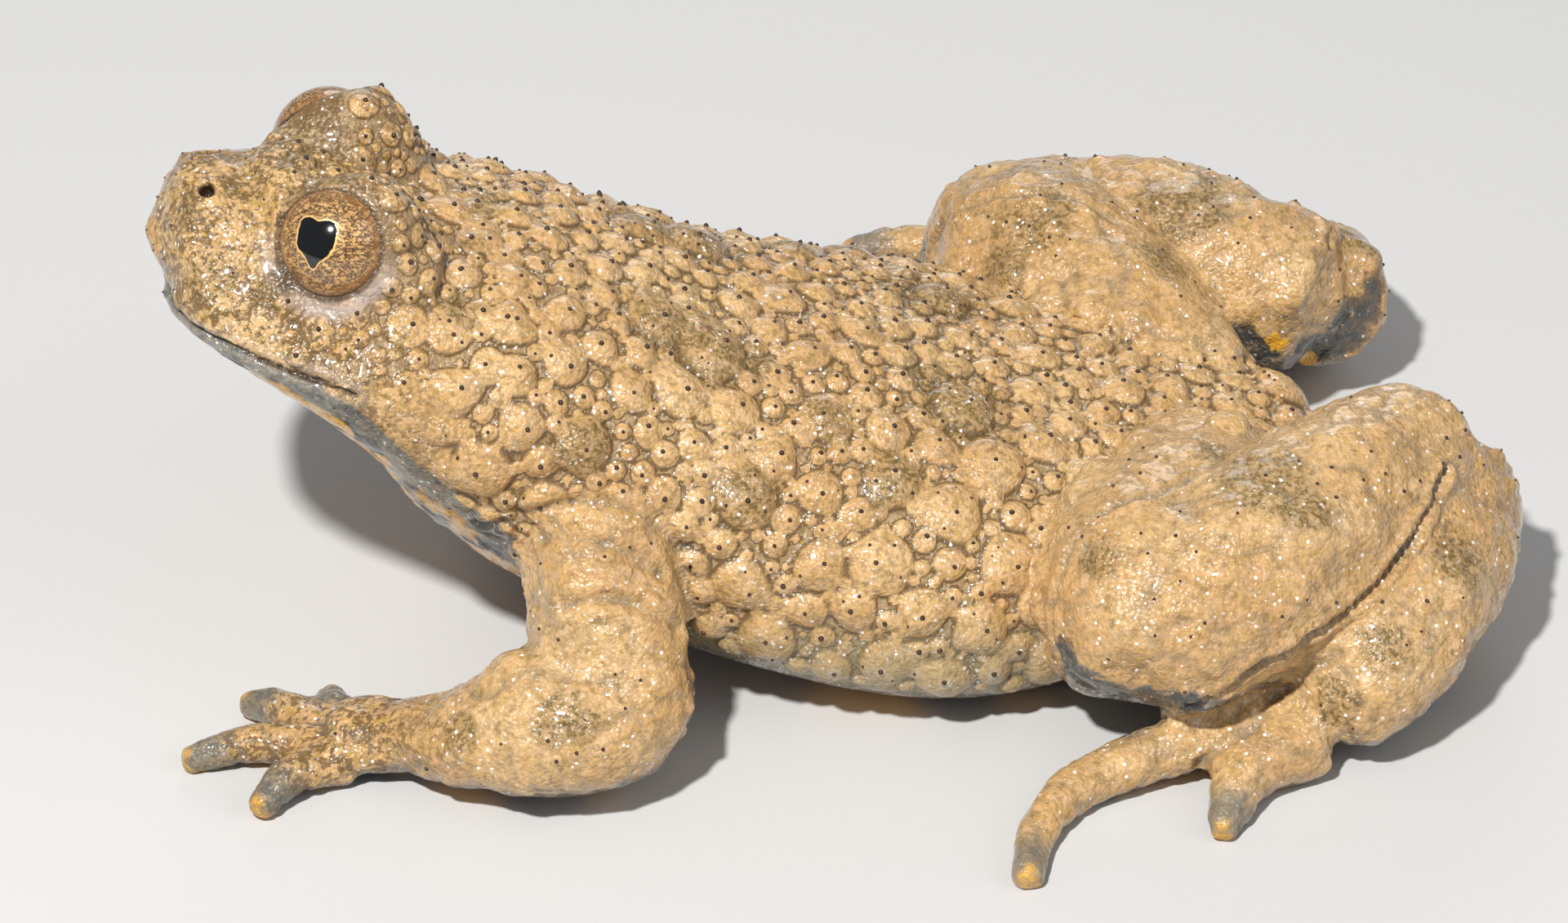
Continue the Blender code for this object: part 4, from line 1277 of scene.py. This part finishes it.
class ToadColourSettings(bpy.types.PropertyGroup):
    tan: colour_property("Tan", "Main colour of the back", (0.59, 0.345, 0.145))
    sand: colour_property("Sand", "Lighter areas of the back", (0.67, 0.43, 0.2))
    ochre: colour_property("Ochre", "Warm spots on the back", (0.46, 0.275, 0.062))
    # Groove is painted shade for the grooves between the warts and the creases of the limbs.
    groove: colour_property("Groove", "Skin between the warts", (0.15, 0.125, 0.085))
    brown: colour_property("Brown", "Fine dark speckles", (0.17, 0.105, 0.04))
    # Dark brown is both the face's real mottling and the painted shade round the warts' feet.
    dark_brown_and_shade: colour_property("Dark Brown", "Wart outlines and face dapples", (0.13, 0.07, 0.02))
    olive: colour_property("Olive", "Dark patches", (0.115, 0.072, 0.014))
    pale: colour_property("Pale", "Round the thorns of the low flank", (0.62, 0.55, 0.45))
    # Painted highlight: near-white for the specks that stand in for the wet skin's sparkle.
    painted_sparkle: colour_property("Painted Sparkle", "Tiny painted highlights", (0.95, 0.9, 0.84))
    moss: colour_property("Moss", "Green grey of the low flank", (0.25, 0.215, 0.12))
    # Slate is the real blue grey of the underside, and also the painted shade at the bottom of the folds.
    slate_and_fold_shade: colour_property("Slate", "Blue grey of the jaw, knees and belly's edge", (0.11, 0.125, 0.115))
    ink: colour_property("Ink", "Dark ground of the belly", (0.018, 0.022, 0.028))
    fire: colour_property("Fire", "Bright blotches of the belly", (0.8, 0.4, 0.025))
    lid: colour_property("Lid", "Rim of the lids", (0.5, 0.4, 0.34))
    thorn: colour_property("Thorn", "Horny tips", (0.028, 0.012, 0.007))
    thorn_root: colour_property("Thorn Root", "Roots of the tips", (0.05, 0.02, 0.01))
    copper: colour_property("Copper", "Iris", (0.36, 0.155, 0.04))
    gold: colour_property("Gold", "Light parts of the iris", (0.72, 0.42, 0.15))
    # Umber is the real network of the iris, and also the painted shade inside the nostrils, the mouth's
    # slit and the lids' edge.
    umber_and_shade: colour_property("Umber", "Network of the iris, and inside the nostrils", (0.035, 0.018, 0.01))
    bright: colour_property("Bright", "Rim round the pupil", (0.9, 0.52, 0.18))


def level_property(name, description, level):
    return FloatProperty(name=name, description=description, default=level, min=0)


class ToadStageSettings(bpy.types.PropertyGroup):
    floor: colour_property("Floor", "Colour of the floor", (0.58, 0.57, 0.55))
    key: level_property("Key Light", "Power of the main light in watts", 1.45)
    fill: level_property("Fill Light", "Power of the fill light in watts", 0.3)
    back: level_property("Back Light", "Power of the back light in watts", 0.17)
    sky: level_property("Surroundings", "Strength of the light all round", 0.26)


class TOAD_OT_skin(bpy.types.Operator):
    """Build the skin with its warts, lids, nostrils, mouth and folds, and the thorns on it"""

    bl_idname = "toad.skin"
    bl_label = "Skin and Thorns"

    def execute(self, context):
        settings, colours = context.scene.toad_skin, context.scene.toad_colours
        skin = fused_skin(settings.voxel, settings.smoothing)
        paint_patches(skin)
        for side in (-1, 1):
            carve_eye(skin, side)
        skin.ease(skin.value("around"), 2)
        skin.turn_normals()
        crease_folds(skin)
        warts = [(skin.seat(point), radius, height) for point, radius, height in large_warts()]
        warts += head_warts(skin)
        warts += small_warts(skin, warts)
        paint_underside(skin)
        mouth = mouth_distance(skin)
        warts = [wart for wart in warts if mouth[skin.tree.find(wart[0])[1]] > wart[1] + 0.1]
        thorns = plant_thorns(skin, warts)
        raise_domes(skin, warts)
        skin.push(skin.value("halo") * 0.07)
        roughen(skin)
        carve_nostrils(skin)
        carve_mouth(skin, mouth)
        skin.places[:, 2] = np.maximum(skin.places[:, 2], FLOOR_LEVEL)
        skin.write()
        skin.store()
        skin.surface = BVHTree.FromObject(skin.item, bpy.context.evaluated_depsgraph_get())
        spikes = thorn_mesh(skin, thorns, settings.thorn_radius, settings.thorn_height)
        for item, finish in ((skin.item, skin_finish(colours)), (spikes, thorn_finish(colours))):
            item.data.materials.append(finish)
            item.data.shade_smooth()
            item.data.transform(Matrix.Translation(offset()))
        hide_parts(*SKIN_NODES)
        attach(skin.item, ROOT)
        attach(spikes, ROOT)
        return {"FINISHED"}


class TOAD_OT_eyes(bpy.types.Operator):
    """Build both eyes"""

    bl_idname = "toad.eyes"
    bl_label = "Eyes"

    def execute(self, context):
        for side, name in ((-1, "left"), (1, "right")):
            axis = Vector((EYE_AXIS[0], side * EYE_AXIS[1], EYE_AXIS[2])).normalized()
            up = (Vector((0, 0, 1)) - axis * axis.z).normalized()
            across = up.cross(axis)
            mesh = bmesh.new()
            bmesh.ops.create_uvsphere(mesh, u_segments=96, v_segments=64, radius=EYE_RADIUS * UNIT)
            ball = linked("toad_eye_" + name, mesh)
            ball.data.materials.append(eye_finish(context.scene.toad_colours, name, side))
            ball.data.shade_smooth()
            place = Matrix.Translation(middle_of("eye_" + name))
            ball.matrix_world = place @ facing(across, up, axis)
            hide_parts("eye_" + name)
            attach(ball, ROOT)
        return {"FINISHED"}


class TOAD_OT_stage(bpy.types.Operator):
    """Build the floor, the lights and the camera"""

    bl_idname = "toad.stage"
    bl_label = "Stage"

    def execute(self, context):
        settings = context.scene.toad_stage
        self.floor(settings)
        target = Vector(VIEW_TARGET) * UNIT + offset()
        self.camera(context, target)
        self.light("key_light", target, (-0.10, -0.16, 0.28), settings.key, 0.02)
        self.light("fill_light", target, (0.30, -0.14, 0.22), settings.fill, 0.3)
        self.light("back_light", target, (0.05, 0.32, 0.16), settings.back, 0.16)
        world = bpy.data.worlds.new("toad_surroundings")
        world.use_nodes = True
        world.node_tree.nodes["Background"].inputs["Color"].default_value = (0.86, 0.91, 1.0, 1)
        world.node_tree.nodes["Background"].inputs["Strength"].default_value = settings.sky
        context.scene.world = world
        context.scene.view_settings.view_transform = "Standard"
        return {"FINISHED"}

    def floor(self, settings):
        mesh = bmesh.new()
        bmesh.ops.create_grid(mesh, x_segments=1, y_segments=1, size=3)
        floor = linked("stage_floor", mesh)
        floor.location.z = -0.00002
        tree = Tree("toad_floor")
        tree.set(Base_Color=settings.floor, Roughness=0.65)
        floor.data.materials.append(tree.material)

    def camera(self, context, target):
        across, up, back = camera_axes()
        camera = bpy.data.cameras.new("toad_camera")
        camera.sensor_width = SENSOR
        camera.lens = VIEW_SCALE * VIEW_DISTANCE * SENSOR / PHOTO[0]
        camera.clip_start = 0.01
        camera.clip_end = 20
        item = bpy.data.objects.new("toad_camera", camera)
        context.scene.collection.objects.link(item)
        place = Matrix.Translation(target + back * VIEW_DISTANCE * UNIT)
        item.matrix_world = place @ facing(across, up, back)
        context.scene.camera = item

    def light(self, name, target, place, power, size):
        light = bpy.data.lights.new(name, "AREA")
        light.energy = power
        light.shape = "DISK"
        light.size = size
        item = bpy.data.objects.new(name, light)
        bpy.context.scene.collection.objects.link(item)
        item.location = target + Vector(place)
        item.rotation_euler = (target - item.location).to_track_quat("-Z", "Y").to_euler()


class TOAD_PT_panel(bpy.types.Panel):
    """Lists the toad's pieces"""

    bl_idname = "TOAD_PT_panel"
    bl_label = "Toad"
    bl_space_type = "VIEW_3D"
    bl_region_type = "UI"
    bl_category = "Toad"

    def draw(self, context):
        layout = self.layout
        for operator in (TOAD_OT_skin, TOAD_OT_eyes, TOAD_OT_stage):
            layout.operator(operator.bl_idname)
        for settings in (context.scene.toad_skin, context.scene.toad_colours, context.scene.toad_stage):
            for name in settings.__annotations__:
                layout.prop(settings, name)


CLASSES = (
    ToadSkinSettings,
    ToadColourSettings,
    ToadStageSettings,
    TOAD_OT_skin,
    TOAD_OT_eyes,
    TOAD_OT_stage,
    TOAD_PT_panel,
)


def register():
    for item in CLASSES:
        bpy.utils.register_class(item)
    bpy.types.Scene.toad_skin = PointerProperty(type=ToadSkinSettings)
    bpy.types.Scene.toad_colours = PointerProperty(type=ToadColourSettings)
    bpy.types.Scene.toad_stage = PointerProperty(type=ToadStageSettings)


def unregister():
    for name in ("toad_skin", "toad_colours", "toad_stage"):
        delattr(bpy.types.Scene, name)
    for item in reversed(CLASSES):
        bpy.utils.unregister_class(item)


def main():
    register()
    bpy.ops.toad.skin()
    bpy.ops.toad.eyes()
    bpy.ops.toad.stage()


if __name__ == "__main__":
    main()
